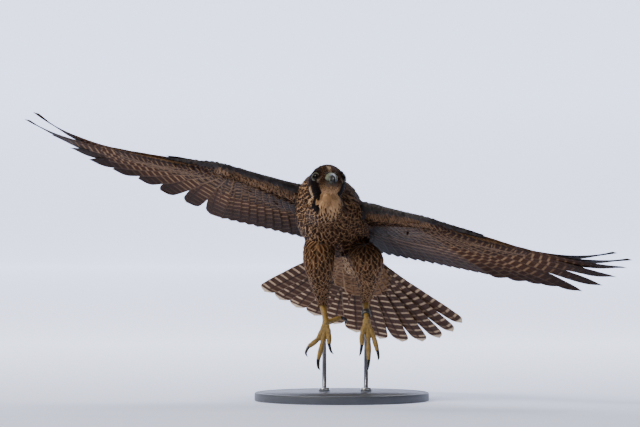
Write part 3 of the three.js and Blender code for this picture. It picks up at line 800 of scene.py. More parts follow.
TRUNK_SHAPE = [(-0.02, 0.56, 0.56, 0), (0.03, 0.74, 0.74, 0), (0.15, 0.9, 0.92, -2), (0.32, 1.0, 1.0, -4),
               (0.5, 0.97, 0.95, -3), (0.68, 0.86, 0.82, 2), (0.85, 0.68, 0.62, 9), (1.0, 0.48, 0.42, 16),
               (1.12, 0.3, 0.24, 21)]
HEAD_SHAPE = [(-0.5, 0.42, 0.42, 0.42, 0), (-0.42, 0.72, 0.7, 0.72, 0), (-0.25, 0.95, 0.93, 0.98, 0),
              (-0.05, 1.0, 1.0, 1.02, 0), (0.12, 0.94, 0.97, 0.95, 0), (0.26, 0.78, 0.84, 0.8, -0.5),
              (0.38, 0.58, 0.62, 0.6, -1.5), (0.46, 0.42, 0.42, 0.45, -2.5)]
NECK_WIDTHS = [42, 39.5, 35.5, 31.5, 28, 25.5, 23.5]
RUMP_SHAPE = [(-22, 24, 17), (-4, 29, 15), (16, 37, 11), (36, 45, 7), (52, 45, 4)]
FLESH_ON_ARM = [(-0.22, 34, 15), (0.05, 34, 14), (0.3, 31, 11), (0.55, 27, 9), (0.8, 22, 7.5)]
FLESH_ON_HAND = [(0, 17, 6.4), (0.4, 14, 5), (0.8, 11, 3.6), (1.15, 7, 2.4)]
FLESH_BEHIND_BONE, FLESH_BELOW_BONE = 0.66, 0.75
THIGH_RADII = [20, 22, 22.5, 19, 15, 10.5, 7]
SKIN_VOXEL, TOE_VOXEL = 1.7, 0.55


def wing_flesh(wing):
    """The fleshy leading edge: upper arm, forearm and hand, with the web of skin before the elbow."""
    stations = []
    for share, half, high in FLESH_ON_ARM:
        start = wing.on_arm(share) + (10 * wing.aft if share < 0 else 0)
        place = start + FLESH_BEHIND_BONE * half * wing.aft
        stations.append((place, half, high, FLESH_BELOW_BONE * high, wing.aft, wing.arm_up))
    for share, half, high in FLESH_ON_HAND:
        place = wing.on_hand(share) + FLESH_BEHIND_BONE * half * wing.hand_aft
        stations.append((place, half, high, FLESH_BELOW_BONE * high, wing.hand_aft, wing.hand_up))
    return formed(stations, 40, 60)


def skin_forms():
    """The closed forms that the skin is melted from, by the part of the bird that each is."""
    trunk = [(along_trunk(share, up), wide * TRUNK_HALF_WIDTH, high * TRUNK_HALF_HEIGHT,
              high * TRUNK_HALF_HEIGHT, TRUNK.left, TRUNK.up) for share, wide, high, up in TRUNK_SHAPE]
    head_back = on_head(0, -0.34 * HEAD_LENGTH, -4)
    spine = line_through([along_trunk(0.12, -2), NECK_BASE + 6 * TRUNK.forward, head_back], len(NECK_WIDTHS))
    neck = []
    for i, wide in enumerate(NECK_WIDTHS):
        t = i / (len(NECK_WIDTHS) - 1)
        high = wide * mixed(0.96, 0.98, t)
        across, up = mixed(TRUNK.left, HEAD.left, t), mixed(TRUNK.up, HEAD.up, t)
        neck.append((spine[i], wide, high, high, across, up))
    throat = limb([on_head(0, 3, -9), on_head(0, -4, -27), along_trunk(0.1, -16)], [15, 18.5, 24, 29], 32, 30)
    head = [(on_head(0, share * HEAD_LENGTH, up), wide * HEAD_HALF_WIDTH, high * HEAD_HALF_WIDTH,
             low * HEAD_HALF_WIDTH, HEAD.left, HEAD.up) for share, wide, high, low, up in HEAD_SHAPE]
    brows = [limb([on_head(side * 12, 20.5, 8.5), on_head(side * 17, 15, 11.4), on_head(side * 20.5, 6, 12)],
                  [1.2, 1.8, 2.2, 1.8, 1.2]) for side in (-1, 1)]
    orbits = [ball(eye_centre(side) - 1.2 * eye_way(side), 8.7, 32, 20) for side in (-1, 1)]
    rump = [(TAIL_ROOT + along * TAIL.aft, wide, high, high, TAIL.left, TAIL.up)
            for along, wide, high in RUMP_SHAPE]
    forms = {"trunk": formed(trunk), "neck": together([formed(neck), throat]),
             "head": together([formed(head), *brows, *orbits]), "rump": formed(rump)}
    for name, leg in LEGS.items():
        line = [leg["hip"], leg["knee"], mixed(leg["knee"], leg["ankle"], 0.5), leg["ankle"]]
        forms["thigh_" + name] = limb(line, THIGH_RADII, 32, 40)
    for name, wing in WING.items():
        forms["wing_" + name] = wing_flesh(wing)
    return forms


def nearest_parts(forms, places):
    """For each place, the index of the form whose surface is nearest."""
    best = np.full(len(places), 1e9)
    part = np.zeros(len(places), int)
    for i, name in enumerate(PART_NAMES):
        form = forms[name]
        low, high = form[0].min(0) - 4, form[0].max(0) + 4
        tree = search_tree(form)
        for k in np.flatnonzero(np.all((places > low) & (places < high), axis=1)):
            found = tree.find_nearest(Vector(places[k]))
            if found[3] is not None and found[3] < best[k]:
                best[k], part[k] = found[3], i
    return part


def flow_at(part, places):
    """The way the plumage lies at each place, before it is evened out."""
    flow = np.tile(TRUNK.aft, (len(places), 1))
    on = by_part(part)
    flow[on["head"]] = unit(places[on["head"]] - on_head(0, 36, -1))
    flow[on["neck"]] = mixed(HEAD.aft, TRUNK.aft, 0.6)
    flow[on["rump"]] = unit(places[on["rump"]] - TAIL_ROOT + 60 * TAIL.aft)
    for name, leg in LEGS.items():
        own = on["thigh_" + name]
        upper, lower = unit(leg["knee"] - leg["hip"]), unit(leg["ankle"] - leg["knee"])
        down = soft((places[own] - leg["knee"]) @ lower, -25, 10)[:, None]
        flow[own] = mixed(mixed(upper, vec(0, 0.6, -0.8), 0.65), lower, down)
    for name, wing in WING.items():
        own = on["wing_" + name]
        outer = soft((places[own] - wing.wrist) @ wing.hand, -50, 70)[:, None]
        flow[own] = mixed(wing.aft + 0.15 * wing.arm, 0.75 * wing.hand_aft + 0.66 * wing.hand, outer)
    return flow


def sizes_at(part, places, normals):
    """Length, spacing, width and depth of the feathers at each place, in mm."""
    on = {name: own[:, None] for name, own in by_part(part).items()}
    depth = mm_of("coat_depth")
    breast, back = vec(mm_of("breast_length"), 4.1, 10, depth), vec(mm_of("back_length"), 4.6, 12, depth)
    above = soft(normals @ TRUNK.up, 0, 0.4)[:, None]
    rows = np.tile(breast, (len(places), 1))
    rows = np.where(on["trunk"] | on["rump"], mixed(rows, back, above), rows)
    rows = np.where(on["neck"], vec(mm_of("neck_length"), 3.6, 8.4, depth * 0.9), rows)
    face, nape = vec(mm_of("face_length"), 1.35, 2.5, 0.7), vec(mm_of("nape_length"), 2.1, 4.4, 1.3)
    behind = soft(-HEAD.inside(places, HEAD_CENTRE)[:, 1], -24, 22)[:, None]
    rows = np.where(on["head"], mixed(face, nape, behind), rows)
    thigh, shin = vec(mm_of("thigh_length"), 3.6, 8, 2.2), vec(11, 2.4, 4.5, 0.9)
    for name, leg in LEGS.items():
        down = soft((places - leg["knee"]) @ unit(leg["ankle"] - leg["knee"]), 5, 75)[:, None]
        rows = np.where(on["thigh_" + name], mixed(thigh, shin, down), rows)
    inner, outer = vec(mm_of("covert_length"), 3.6, 8.4, 0.9), vec(11, 2.9, 6, 0.5)
    front = vec(6.5, 2.3, 5.2, 0.4)
    for name, wing in WING.items():
        out = soft((places - wing.wrist) @ wing.hand, -20, 80)[:, None]
        ahead = soft(-(normals @ wing.aft), 0.1, 0.6)[:, None]
        rows = np.where(on["wing_" + name], mixed(mixed(inner, outer, out), front, ahead), rows)
    return rows


def from_eyes(places, out=0.0):
    """Distance of places from the nearer eye's centre, moved out along the way the eye looks."""
    return np.minimum(*(np.linalg.norm(places - eye_centre(side) - out * eye_way(side), axis=1)
                        for side in (-1, 1)))


def along_skin(flow, normals):
    return unit(flow - normals * np.sum(flow * normals, 1, keepdims=True))


def make_skin():
    """One skin under the plumage of head, neck, trunk, thighs and the fleshy part of the wings."""
    forms = skin_forms()
    mesh = fused("skin", together(forms.values()), SKIN_VOXEL, 5)
    places, normals, edges = places_of(mesh), normals_of(mesh), read_all(mesh.edges, "vertices", 2, np.int32)
    part = nearest_parts(forms, places)
    sizes = evened(sizes_at(part, places, normals), edges, 6)
    flow = evened(along_skin(flow_at(part, places), normals), edges, 14)
    smooth_normals = unit(evened(normals, edges, 3))
    sink = sizes[:, 3] * soft(from_eyes(places), 8.5, 13)
    places = places - smooth_normals * sink[:, None]
    move_points(mesh, places)
    marks = marks_at(part, places, smooth_normals)
    share = np.clip(marks["streak"] + 0.4 * marks["bars"], 0, 0.7)
    write_channel(mesh, "tint", mixed(marks["base"], marks["mark"], share) * 0.6)
    write_channel(mesh, "part", part, "INT")
    write_channel(mesh, "flow", along_skin(flow, smooth_normals), "FLOAT_VECTOR")
    for key, values in zip(SIZE_KEYS, sizes.T):
        write_channel(mesh, key, values)
    mesh.update()
    nodes = ["torso", "neck", "head", "thigh_r", "thigh_l", "wing_r", "wing_l", "tail"]
    return piece_of(mesh, skin_finish(), nodes)


# Coat

VANE_ROWS = vec(0, 0.18, 0.4, 0.62, 0.8, 0.93, 1)
VANE_WIDTHS = vec(0.4, 0.78, 0.98, 1.0, 0.86, 0.55, 0.14)
VANE_COLUMNS = vec(-1, -0.5, 0, 0.5, 1)
STREAK_SHAPE = vec(0.5, 0.7, 0.9, 1.05, 1.0, 0.6, 0.0)
BAKE_PATCH = 0.003
TRIES_PER_FEATHER = 7


class SkinReader:
    """The skin's points, triangles and the channels that the coat grows by."""

    def __init__(self):
        skin = bpy.data.objects.get("skin")
        if skin is None:
            raise RuntimeError("the coat needs the skin first")
        mesh = skin.data
        self.places, self.normals = places_of(mesh), normals_of(mesh)
        mesh.calc_loop_triangles()
        self.corners = read_all(mesh.loop_triangles, "vertices", 3, np.int32)
        self.part = read_all(mesh.attributes["part"].data, "value", 1, np.int32)
        self.flow = read_all(mesh.attributes["flow"].data, "vector", 3)
        self.sizes = np.stack([read_all(mesh.attributes[key].data, "value") for key in SIZE_KEYS], 1)
        self.tree = BVHTree.FromPolygons(self.places.tolist(), self.corners.tolist())

    def surface(self, targets):
        """The nearest places on the skin to targets, and the skin's normals there."""
        found, ways = np.empty_like(targets), np.empty_like(targets)
        for i, target in enumerate(targets.tolist()):
            found[i], ways[i], _, _ = self.tree.find_nearest(target)
        return found, ways


def scatter(skin, wanted, rng):
    """Roots of feathers spread evenly over the wanted parts: their places and the channels there."""
    use = np.isin(skin.part[skin.corners[:, 0]], wanted)
    corners = skin.corners[use]
    a, b, c = (skin.places[corners[:, k]] for k in range(3))
    area = np.linalg.norm(np.cross(b - a, c - a), axis=1) / 2
    spacing = skin.sizes[corners[:, 0], 1]
    counts = rng.poisson(TRIES_PER_FEATHER * area / spacing**2)
    which = np.repeat(np.arange(len(corners)), counts)
    u, v = rng.random(len(which)), rng.random(len(which))
    flip = u + v > 1
    u[flip], v[flip] = 1 - u[flip], 1 - v[flip]
    weights = np.stack([1 - u - v, u, v], 1)[..., None]
    picked = corners[which]

    def at(values):
        return (values[picked] * weights).sum(1)

    places = at(skin.places)
    sizes = at(skin.sizes)
    tree = KDTree(len(places))
    for i, place in enumerate(places.tolist()):
        tree.insert(place, i)
    tree.balance()
    alive = np.ones(len(places), bool)
    chosen = []
    for i in rng.permutation(len(places)).tolist():
        if not alive[i]:
            continue
        chosen.append(i)
        for _, k, _ in tree.find_range(places[i], sizes[i, 1]):
            alive[k] = False
    chosen = np.array(chosen)
    normals = unit(at(skin.normals))
    flow = unit(at(skin.flow))
    return places[chosen], normals[chosen], flow[chosen], sizes[chosen], skin.part[picked[chosen, 0]]


def may_root(places, normals, part):
    """True where a feather may root: off the eyes and the bill, and off the hidden rear of wings and rump."""
    left, forward, up = HEAD.inside(places, HEAD_CENTRE).T
    on_bill = (forward > BILL_ROOT - 1) & (np.abs(left) < 7.8) & (up < 7.5) & (up > -12)
    on = by_part(part)
    hidden = on["rump"] & ((places - TAIL_ROOT) @ TAIL.aft > 30)
    for name, wing in WING.items():
        hidden |= on["wing_" + name] & (normals @ wing.aft > 0.6)
    return (from_eyes(places, 5.6) > 6.4) & ~on_bill & ~hidden


def grid_faces(rows, columns):
    i, j = np.meshgrid(np.arange(rows - 1), np.arange(columns - 1), indexing="ij")
    a = (i * columns + j).ravel()
    return np.stack([a, a + 1, a + columns + 1, a + columns], 1)


def rolled(places, lie, origin, behind, length):
    """Where places lie on a skin rolled out flat round a part's axis, 0 to 1 both ways."""
    left, forward, up = lie.inside(places, origin).T
    return np.stack([np.arctan2(left, up) / (2 * math.pi) + 0.5, (forward + behind) / length], 1)


def round_body(places, normals):
    return rolled(places, TRUNK, NECK_BASE, 260, 400)


def round_head(places, normals):
    return rolled(places, HEAD, HEAD_CENTRE, 70, 110)


def round_legs(places, normals):
    """Each leg's skin rolled out round the leg, one leg in each half of the map."""
    spread = np.zeros((len(places), 2))
    for k, leg in enumerate(LEGS.values()):
        way = unit(leg["ankle"] - leg["hip"])
        aside = unit(np.cross(way, vec(0, 1, 0)))
        own = places - mixed(leg["hip"], leg["ankle"], 0.5)
        angle = np.arctan2(own @ aside, own @ np.cross(way, aside)) / (2 * math.pi) + 0.5
        mine = np.abs(own @ aside) < 32
        spread[mine] = np.stack([(angle + k) / 2, (own @ way + 75) / 150], 1)[mine]
    return spread


def flat_wing(wing):
    """The wing's skin laid flat, the upper side in one half of the map and the under side in the other."""
    def lay(places, normals):
        own = places - wing.shoulder
        out = (own @ unit(wing.arm + wing.hand) + 40) / 320
        chord = (own @ wing.aft + 60) / 160
        above = normals @ wing.arm_up > 0
        return np.stack([out, np.where(above, chord / 2 + 0.5, chord / 2)], 1)
    return lay


def bent_shafts(skin, places, normals, flow, length):
    """Shafts that follow the skin from their roots: places, ways, and the ways up and aside of each row."""
    straight = flow * (length * 0.5)[:, None]
    middle, middle_up = skin.surface(places + straight)
    end, end_up = skin.surface(middle + unit(middle - places) * (length * 0.5)[:, None])
    turned_away = np.minimum(np.sum(middle_up * normals, 1), np.sum(end_up * normals, 1)) < 0.45
    middle[turned_away] = (places + straight)[turned_away]
    end[turned_away] = (places + flow * length[:, None])[turned_away]
    middle_up[turned_away] = end_up[turned_away] = normals[turned_away]
    t = VANE_ROWS[None, :, None]
    shaft = (places[:, None] * ((1 - t) * (1 - 2 * t)) + middle[:, None] * (4 * t * (1 - t))
             + end[:, None] * (t * (2 * t - 1)))
    up = unit(normals[:, None] * (1 - t) + mixed(middle_up, end_up, 0.5)[:, None] * t + 1e-6)
    way = unit(np.gradient(shaft, axis=1))
    return shaft, way, up, unit(np.cross(up, way))


def coat_piece(name, skin, wanted, unroll, material, rng):
    """The feathers of some parts of the skin, as one mesh."""
    roots = scatter(skin, [PART_NAMES.index(n) for n in wanted], rng)
    keep = may_root(roots[0], roots[1], roots[4])
    places, normals, flow, sizes, part = (values[keep] for values in roots)
    count, rows, columns = len(places), len(VANE_ROWS), len(VANE_COLUMNS)
    loose = settings("feathers").looseness
    flow = unit(flow + np.cross(normals, flow) * rng.normal(0, 0.1 * loose, count)[:, None])
    length = sizes[:, 0] * rng.uniform(0.85, 1.12, count)
    half = sizes[:, 2] / 2 * rng.uniform(0.9, 1.12, count)
    shaft, way, up, side = bent_shafts(skin, places, normals, flow, length)
    length = length[:, None, None]
    lift = (sizes[:, 3] * rng.uniform(0.75, 1.1, count))[:, None, None]
    kick = rng.normal(0, 0.12 * loose, count)[:, None, None] * lift
    t, u = VANE_ROWS[:, None], VANE_COLUMNS
    across = half[:, None, None] * VANE_WIDTHS[:, None] * u
    rise = (0.12 + 0.88 * np.sin(t * math.pi / 2) ** 1.2) * lift + kick * t**3
    cup = -0.22 * (across * u) * (1 - 0.4 * t) * np.minimum(1, lift / 2)
    pulled = -0.1 * length * u**2 * t**2
    grid = (shaft[:, :, None] + side[:, :, None] * across[..., None]
            + up[:, :, None] * np.maximum(rise + cup, 0.05)[..., None] + way[:, :, None] * pulled[..., None])
    faces = grid_faces(rows, columns)[:, ::-1] + (np.arange(count) * rows * columns)[:, None, None]
    marks = marks_at(part, places, normals)
    tone = np.clip(rng.normal(1, 0.2, count), 0.5, 1.6)[:, None]

    def per_point(values):
        return np.repeat(values, rows * columns, axis=0)

    def spread(table):
        return np.broadcast_to(table, (count, rows, columns)).reshape(-1)

    from_tip = length * (1 - t)
    channels = {key: per_point(marks[key] * tone) for key in COLOUR_KEYS}
    channels.update({
        "across": spread(np.abs(u)),
        "edge": spread(np.maximum(np.abs(u) * 0.97, soft(t, 0.55, 1.02))),
        "streak": spread((marks["streak"] * STREAK_SHAPE)[..., None]),
        "bars": per_point(marks["bars"][:, 0]),
        "rim_width": per_point(marks["rim_width"][:, 0]),
        "phase": spread((from_tip - 2 * np.abs(u)) / 6.5 + rng.random(count)[:, None, None] * 0.3),
        "barbs": spread(from_tip + 0.9 * np.abs(across)),
    })
    own_patch = np.stack(np.broadcast_arrays(u * BAKE_PATCH / 2, (t - 0.5) * BAKE_PATCH), -1)
    unwrapped = (unroll(places, normals)[:, None, None] + own_patch).reshape(-1, 2)
    return piece_of(mesh_of(name, grid.reshape(-1, 3), [faces.reshape(-1, 4)], channels, unwrapped), material)


def make_coat():
    """The small feathers, region by region."""
    skin = SkinReader()
    material = feather_finish("small_feathers", 0.62)
    rng = np.random.default_rng(settings("feathers").seed)
    regions = [
        ("coat_head", ["head"], round_head),
        ("coat_neck", ["neck"], round_head),
        ("coat_body", ["trunk", "rump"], round_body),
        ("coat_legs", ["thigh_r", "thigh_l"], round_legs),
    ]
    regions += [("coat_wing_" + name, ["wing_" + name], flat_wing(wing)) for name, wing in WING.items()]
    for name, wanted, unroll in regions:
        coat_piece(name, skin, wanted, unroll, material, rng)


# Flight feathers

SECONDARY_SHARES, SECONDARY_BACKS = (0.0, 0.95), (20, 16)
PRIMARY_SHARES, PRIMARY_BACKS = (0.03, 1.02), (15, 3)
QUILL_GRID = dict(rows=34, columns=11, thick=0.6)
TAIL_GRID = dict(rows=40, columns=13, thick=0.6)
ALULA_GRID = dict(rows=18, columns=7, thick=0.4)
COVERT_GRID = dict(rows=14, columns=7, thick=0.4)


class Vane:
    """A flight feather or covert: its shaft, the width of its two sides, and how it bends."""

    def __init__(self, root, tip, up, ahead, lead, lag, bend=0.0, tilt=7.0, pointed=0.0, painted_shade=1.0):
        self.root, self.tip, self.up, self.ahead = root, tip, up, ahead
        self.lead, self.lag, self.tilt, self.pointed, self.painted_shade = lead, lag, tilt, pointed, painted_shade
        self.rise = self.twist = bend

    def cover(self, share, lift, wide=1.0, back=0.0):
        """A covert over the root of this feather: shorter, along the same line and lifted off it."""
        root = self.root + self.up * lift - unit(self.tip - self.root) * back
        tip = mixed(self.root, self.tip, share) + self.up * lift * 0.55
        covert = Vane(root, tip, self.up, self.ahead, self.lead * wide, self.lag * wide, tilt=self.tilt,
                      pointed=self.pointed * 0.4, painted_shade=self.painted_shade)
        covert.rise, covert.twist = self.rise * share**3, self.twist * share**2
        return covert


def wing_vanes(wing):
    """The flight feathers of a wing, from the innermost secondary to the outermost primary."""
    first_along, first_back, _ = wing.tips[0]
    inner = wing.on_arm(-0.12) + wing.aft * wing.inner_chord
    outer = wing.wrist + wing.hand * (first_along - 17) + wing.hand_aft * (first_back + 8)
    vanes = []
    for i in range(SECONDARIES):
        t = i / (SECONDARIES - 1)
        root = wing.on_arm(mixed(*SECONDARY_SHARES, t)) + wing.aft * mixed(*SECONDARY_BACKS, t)
        vanes.append((root, mixed(inner, outer, t), wing.arm_up, 8, 14, 0.0, 0.0))
    for i, (along, back, rise) in enumerate(wing.tips):
        t = i / (PRIMARIES - 1)
        root = wing.on_hand(mixed(*PRIMARY_SHARES, t)) + wing.hand_aft * mixed(*PRIMARY_BACKS, t)
        root = root + wing.hand_up * mixed(2.2, -2.2, t)
        tip = wing.wrist + wing.hand * along + wing.hand_aft * back
        vanes.append((root, tip, wing.hand_up, mixed(10, 4.5, t), mixed(21, 14, t), rise, t))
    made = []
    for i, (root, tip, up, lead, lag, rise, pointed) in enumerate(vanes):
        ahead = unit(np.cross(up, unit(tip - root)) * -wing.side)
        # painted shade: the vanes nearest the body are darkened on both sides of the wing, standing in for
        # the shadow the body casts on the inner wing
        painted_shade = mixed(0.34, 1.0, soft(i, -1, 9))
        made.append(Vane(root, tip, up, ahead, lead, lag, rise, pointed=pointed, painted_shade=painted_shade))
    return made


def seam_vane(vane, i, lower):
    """A covert from the wing's flesh over the gap between the flesh's rear edge and the coverts behind it."""
    if i < SECONDARIES:
        flesh, backs = FLESH_ON_ARM, SECONDARY_BACKS
        share = mixed(*SECONDARY_SHARES, i / (SECONDARIES - 1))
    else:
        flesh, backs = FLESH_ON_HAND, PRIMARY_BACKS
        share = mixed(*PRIMARY_SHARES, (i - SECONDARIES) / (PRIMARIES - 1))
    half, high = (np.interp(share, [row[0] for row in flesh], [row[k] for row in flesh]) for k in (1, 2))
    back = mixed(*backs, share)
    rise = -vane.up if lower else vane.up
    thick = FLESH_BELOW_BONE * high if lower else high
    way = unit(vane.tip - vane.root)
    root = vane.root + way * (0.9 * half - back) + rise * (thick * 0.97 + 0.4)
    tip = vane.root + way * (2.0 * half - back + 7) + rise * 2.4
    return Vane(root, tip, vane.up, vane.ahead, vane.lead, vane.lag * 0.9, tilt=vane.tilt, painted_shade=vane.painted_shade)


def tail_vanes():
    vanes = []
    for i in range(RECTRICES):
        t = i / (RECTRICES - 1) * 2 - 1
        folded = t * t if t < 0 else 0
        angle = math.radians(TAIL_HALF_SPREAD) * (t + 0.07 * folded)
        reach = TAIL_LENGTH - 12 * t * t - (16 * math.sin(math.pi * -t) + 12 * folded if t < 0 else 0)
        root = TAIL_ROOT + TAIL.left * 15 * t - TAIL.aft * 8 * abs(t) - TAIL.up * 7 * abs(t)
        tip = (TAIL_ROOT + TAIL.aft * reach * math.cos(angle) + TAIL.left * reach * math.sin(angle)
               - TAIL.up * (14 * abs(t) + 10 * folded))
        ahead = unit(np.cross(unit(tip - root), TAIL.up) * -np.sign(t))
        vanes.append(Vane(root, tip, TAIL.up, ahead, mixed(17, 12, abs(t)), 19))
    return vanes


def vane_grid(vane, rows, columns, thick, rng):
    """Both sheets of a vane, with the share along, the place across, the mm to the tip and the widths."""
    t = 1 - (1 - np.linspace(0, 1, rows)) ** 1.35
    u = np.linspace(-1, 1, columns)
    u = np.sign(u) * np.abs(u) ** 0.85
    near_tip, at_tip = mixed(0.94, 0.74, vane.pointed), mixed(0.8, 0.5, vane.pointed)
    body = np.interp(t, [0, 0.22, 0.6, 0.87, 1], [0.4, 0.96, 1, near_tip, at_tip])
    body = np.convolve(np.pad(body, 2, mode="edge"), np.ones(5) / 5, "valid")
    start = mixed(0.925, 0.8, vane.pointed)
    body = body * np.sqrt(np.clip(1 - np.clip((t - start) / (1 - start), 0, 1) ** 2, 0.003, 1))
    turn = np.radians(vane.tilt - vane.twist * t**3)[:, None]
    side = vane.ahead * np.cos(turn) + vane.up * np.sin(turn)
    normal = vane.up * np.cos(turn) - vane.ahead * np.sin(turn)
    shaft = vane.root + (vane.tip - vane.root) * t[:, None] + vane.up * (vane.rise * t**3)[:, None]
    wide = np.where(u < 0, vane.lag, vane.lead)[None] * u[None] * body[:, None]
    way, length = unit(vane.tip - vane.root), np.linalg.norm(vane.tip - vane.root)
    wave = rng.normal(0, 0.16, 3)
    ripple = (wave[0] * np.sin(9 * t + wave[1] * 20) + wave[2] * np.sin(23 * t))[:, None] * u[None] ** 2
    ridge = 0.42 * np.exp(-((u[None] / 0.09) ** 2)) * (1 - 0.75 * t[:, None]) * min(1.0, length / 90)
    camber = -0.05 * np.abs(wide) * np.abs(u[None]) + ripple
    sweep = -mixed(0.014, 0.035, vane.pointed) * length * (u[None] ** 2) * (t[:, None] ** 6)
    half = thick / 2 * (1 - 0.5 * t[:, None]) * (1 - 0.7 * u[None] ** 2)
    middle = shaft[:, None] + side[:, None] * wide[..., None] + way * sweep[..., None]
    top = middle + normal[:, None] * (camber + half + ridge)[..., None]
    bottom = middle + normal[:, None] * (camber - half - ridge * 0.8)[..., None]
    return top, bottom, t, u, length * (1 - t), wide


def closed_sheets(rows, columns):
    """Faces of two sheets stitched round their edge; the first sheet's faces look along the third axis."""
    each = rows * columns
    top = grid_faces(rows, columns)
    bottom = top[:, ::-1] + each
    rim = np.concatenate([
        np.arange(columns),
        np.arange(1, rows) * columns + columns - 1,
        (rows - 1) * columns + np.arange(columns - 2, -1, -1),
        np.arange(rows - 2, 0, -1) * columns,
    ])
    after = np.roll(rim, -1)
    stitch = np.stack([rim, rim + each, after + each, after], 1)
    return [top, bottom, stitch]


class Plumes:
    """Many vanes gathered into one mesh, each with its own strip of the bake map."""

    def __init__(self, total):
        self.columns = math.ceil(math.sqrt(total * 2 * 3))
        self.rows = math.ceil(total * 2 / self.columns)
        self.places, self.faces, self.maps, self.count, self.cell = [], [], [], 0, 0
        self.channels = {}

    def strip(self, t, u):
        """The next free strip of the map."""
        x, y = self.cell % self.columns, self.cell // self.columns
        self.cell += 1
        across = (x + 0.08 + 0.84 * (u[None] + 1) / 2) / self.columns
        along = (y + 0.04 + 0.92 * t[:, None]) / self.rows
        return np.stack(np.broadcast_arrays(across, along), -1).reshape(-1, 2)

    def add(self, vane, look, rng, rows, columns, thick):
        top, bottom, t, u, from_tip, wide = vane_grid(vane, rows, columns, thick, rng)
        faces = closed_sheets(rows, columns)
        if np.dot(np.cross(vane.ahead, unit(vane.tip - vane.root)), vane.up) < 0:
            faces = [f[:, ::-1] for f in faces]
        self.places += [top.reshape(-1, 3), bottom.reshape(-1, 3)]
        self.faces += [f + self.count for f in faces]
        self.count += 2 * rows * columns
        self.maps += [self.strip(t, u), self.strip(t, u)]
        # the vane's painted shade darkens all its colours, most near the body
        tone = rng.normal(1, 0.06) * vane.painted_shade
        offset = rng.random() * 0.3
        for upper in (True, False):
            self.mark(look(upper, vane), t, u, from_tip, wide, tone, offset)

    def mark(self, look, t, u, from_tip, wide, tone, offset):
        """The channels of one sheet of a vane."""
        shape = (len(t), len(u))
        across = np.abs(u)[None]
        inner = np.where(u < 0, 1.0, look["lead_bars"])
        tip_edge = np.interp(from_tip, [0, look["tip"], look["tip"] * 1.5], [1.3, 1 - look["rim_width"], 0])
        fade = soft(t, *look["ends"])[:, None] * look["end_share"]
        bars = look["bars"] * inner[None] * soft(0.97 - across, 0, 0.1) * soft(across, 0.05, 0.16)
        own = {
            "across": across,
            "edge": np.maximum(across, tip_edge[:, None]),
            "streak": look["streak"] * (1 - 0.6 * t)[:, None],
            "bars": bars * (1 - fade),
            "rim_width": look["rim_width"],
            "phase": from_tip[:, None] / look["pitch"] - look["slant"] * across + offset,
            "barbs": from_tip[:, None] + 0.8 * np.abs(wide),
        }
        for key, values in own.items():
            self.channels.setdefault(key, []).append(np.broadcast_to(values, shape).reshape(-1))
        for key in COLOUR_KEYS:
            value = np.broadcast_to(look[key] * tone, (*shape, 3))
            if key != "mark":
                value = mixed(value, look["end"], fade[..., None])
            self.channels.setdefault(key, []).append(value.reshape(-1, 3))

    def piece(self, name, material, nodes):
        channels = {key: np.concatenate(values) for key, values in self.channels.items()}
        mesh = mesh_of(name, np.vstack(self.places), self.faces, channels, np.vstack(self.maps))
        return piece_of(mesh, material, nodes)


PLAIN_END = dict(end=vec(0, 0, 0), ends=(0.5, 1), end_share=0.0)


def flight_look(upper, vane):
    """Flight feathers: brown above with faint bars, paler below with buff bars on the inner vane."""
    quill, brown, dusk, slate, buff = colours("quill", "brown", "dusk", "slate", "buff")
    darker = vane.pointed * 0.8
    if upper:
        return dict(base=mixed(brown, slate, 0.5 + 0.4 * darker) * 0.8, mark=dusk,
                    band=mixed(brown, buff, 0.4), rim=mixed(buff, brown, 0.5), streak=0.05, bars=0.3,
                    rim_width=0.05, pitch=9.5, slant=0.25, lead_bars=0.3, tip=2.4, end=slate * 0.6,
                    ends=(0.5, 0.8), end_share=0.9 * darker)
    return dict(base=mixed(quill, dusk, 0.15 + 0.3 * darker), mark=dusk, band=mixed(buff, quill, 0.4),
                rim=mixed(buff, quill, 0.4), streak=0.05, bars=0.9, rim_width=0.05, pitch=11.5, slant=0.3,
                lead_bars=0.4, tip=4.5, end=dusk * mixed(0.9, 0.5, darker), ends=(0.5, 0.86),
                end_share=mixed(0.62, 0.98, darker))


def covert_look(upper, vane):
    brown, dusk, slate, buff = colours("brown", "dusk", "slate", "buff")
    if upper:
        return dict(PLAIN_END, base=mixed(brown, slate, 0.45) * 0.85, mark=dusk, band=buff,
                    rim=mixed(buff, brown, 0.55), streak=0.1, bars=0.08, rim_width=0.08, pitch=11, slant=0.2,
                    lead_bars=0.5, tip=2.6)
    return dict(PLAIN_END, base=mixed(brown, dusk, 0.55), mark=dusk, band=mixed(buff, brown, 0.4),
                rim=mixed(buff, brown, 0.35), streak=0.25, bars=0.6, rim_width=0.1, pitch=9.0, slant=0.5,
                lead_bars=0.7, tip=1.8)


def tail_look(upper, vane):
    brown, dusk, buff, cream = colours("brown", "dusk", "buff", "cream")
    ground = mixed(brown, dusk, 0.3 if upper else 0.1)
    band = mixed(buff, brown, 0.45) if upper else mixed(cream, buff, 0.6)
    return dict(PLAIN_END, base=ground, mark=dusk, band=band, rim=cream, streak=0.1, bars=0.9, rim_width=0.04,
                pitch=13.5, slant=0.12, lead_bars=0.3, tip=9.0)


def undertail_look(upper, vane):
    brown, buff, throat = colours("brown", "buff", "throat")
    return dict(PLAIN_END, base=mixed(throat, brown, 0.5), mark=brown, band=brown,
                rim=mixed(buff, brown, 0.2), streak=0.12, bars=1.0, rim_width=0.14, pitch=10.0, slant=0.7,
                lead_bars=1.0, tip=2.5)


ARM_COVERT_ROWS = ((0.52, 1.7, 0), (0.36, 2.9, 4), (0.24, 4.2, 8))
HAND_COVERT_ROWS = ((0.42, 1.7, 0), (0.3, 2.9, 4), (0.2, 3.4, 8))
TAIL_COVERT_ROWS = ((0.46, 2.2), (0.34, 4.0), (0.24, 6.0))
ALULA_LENGTHS = (88, 74, 60, 46)


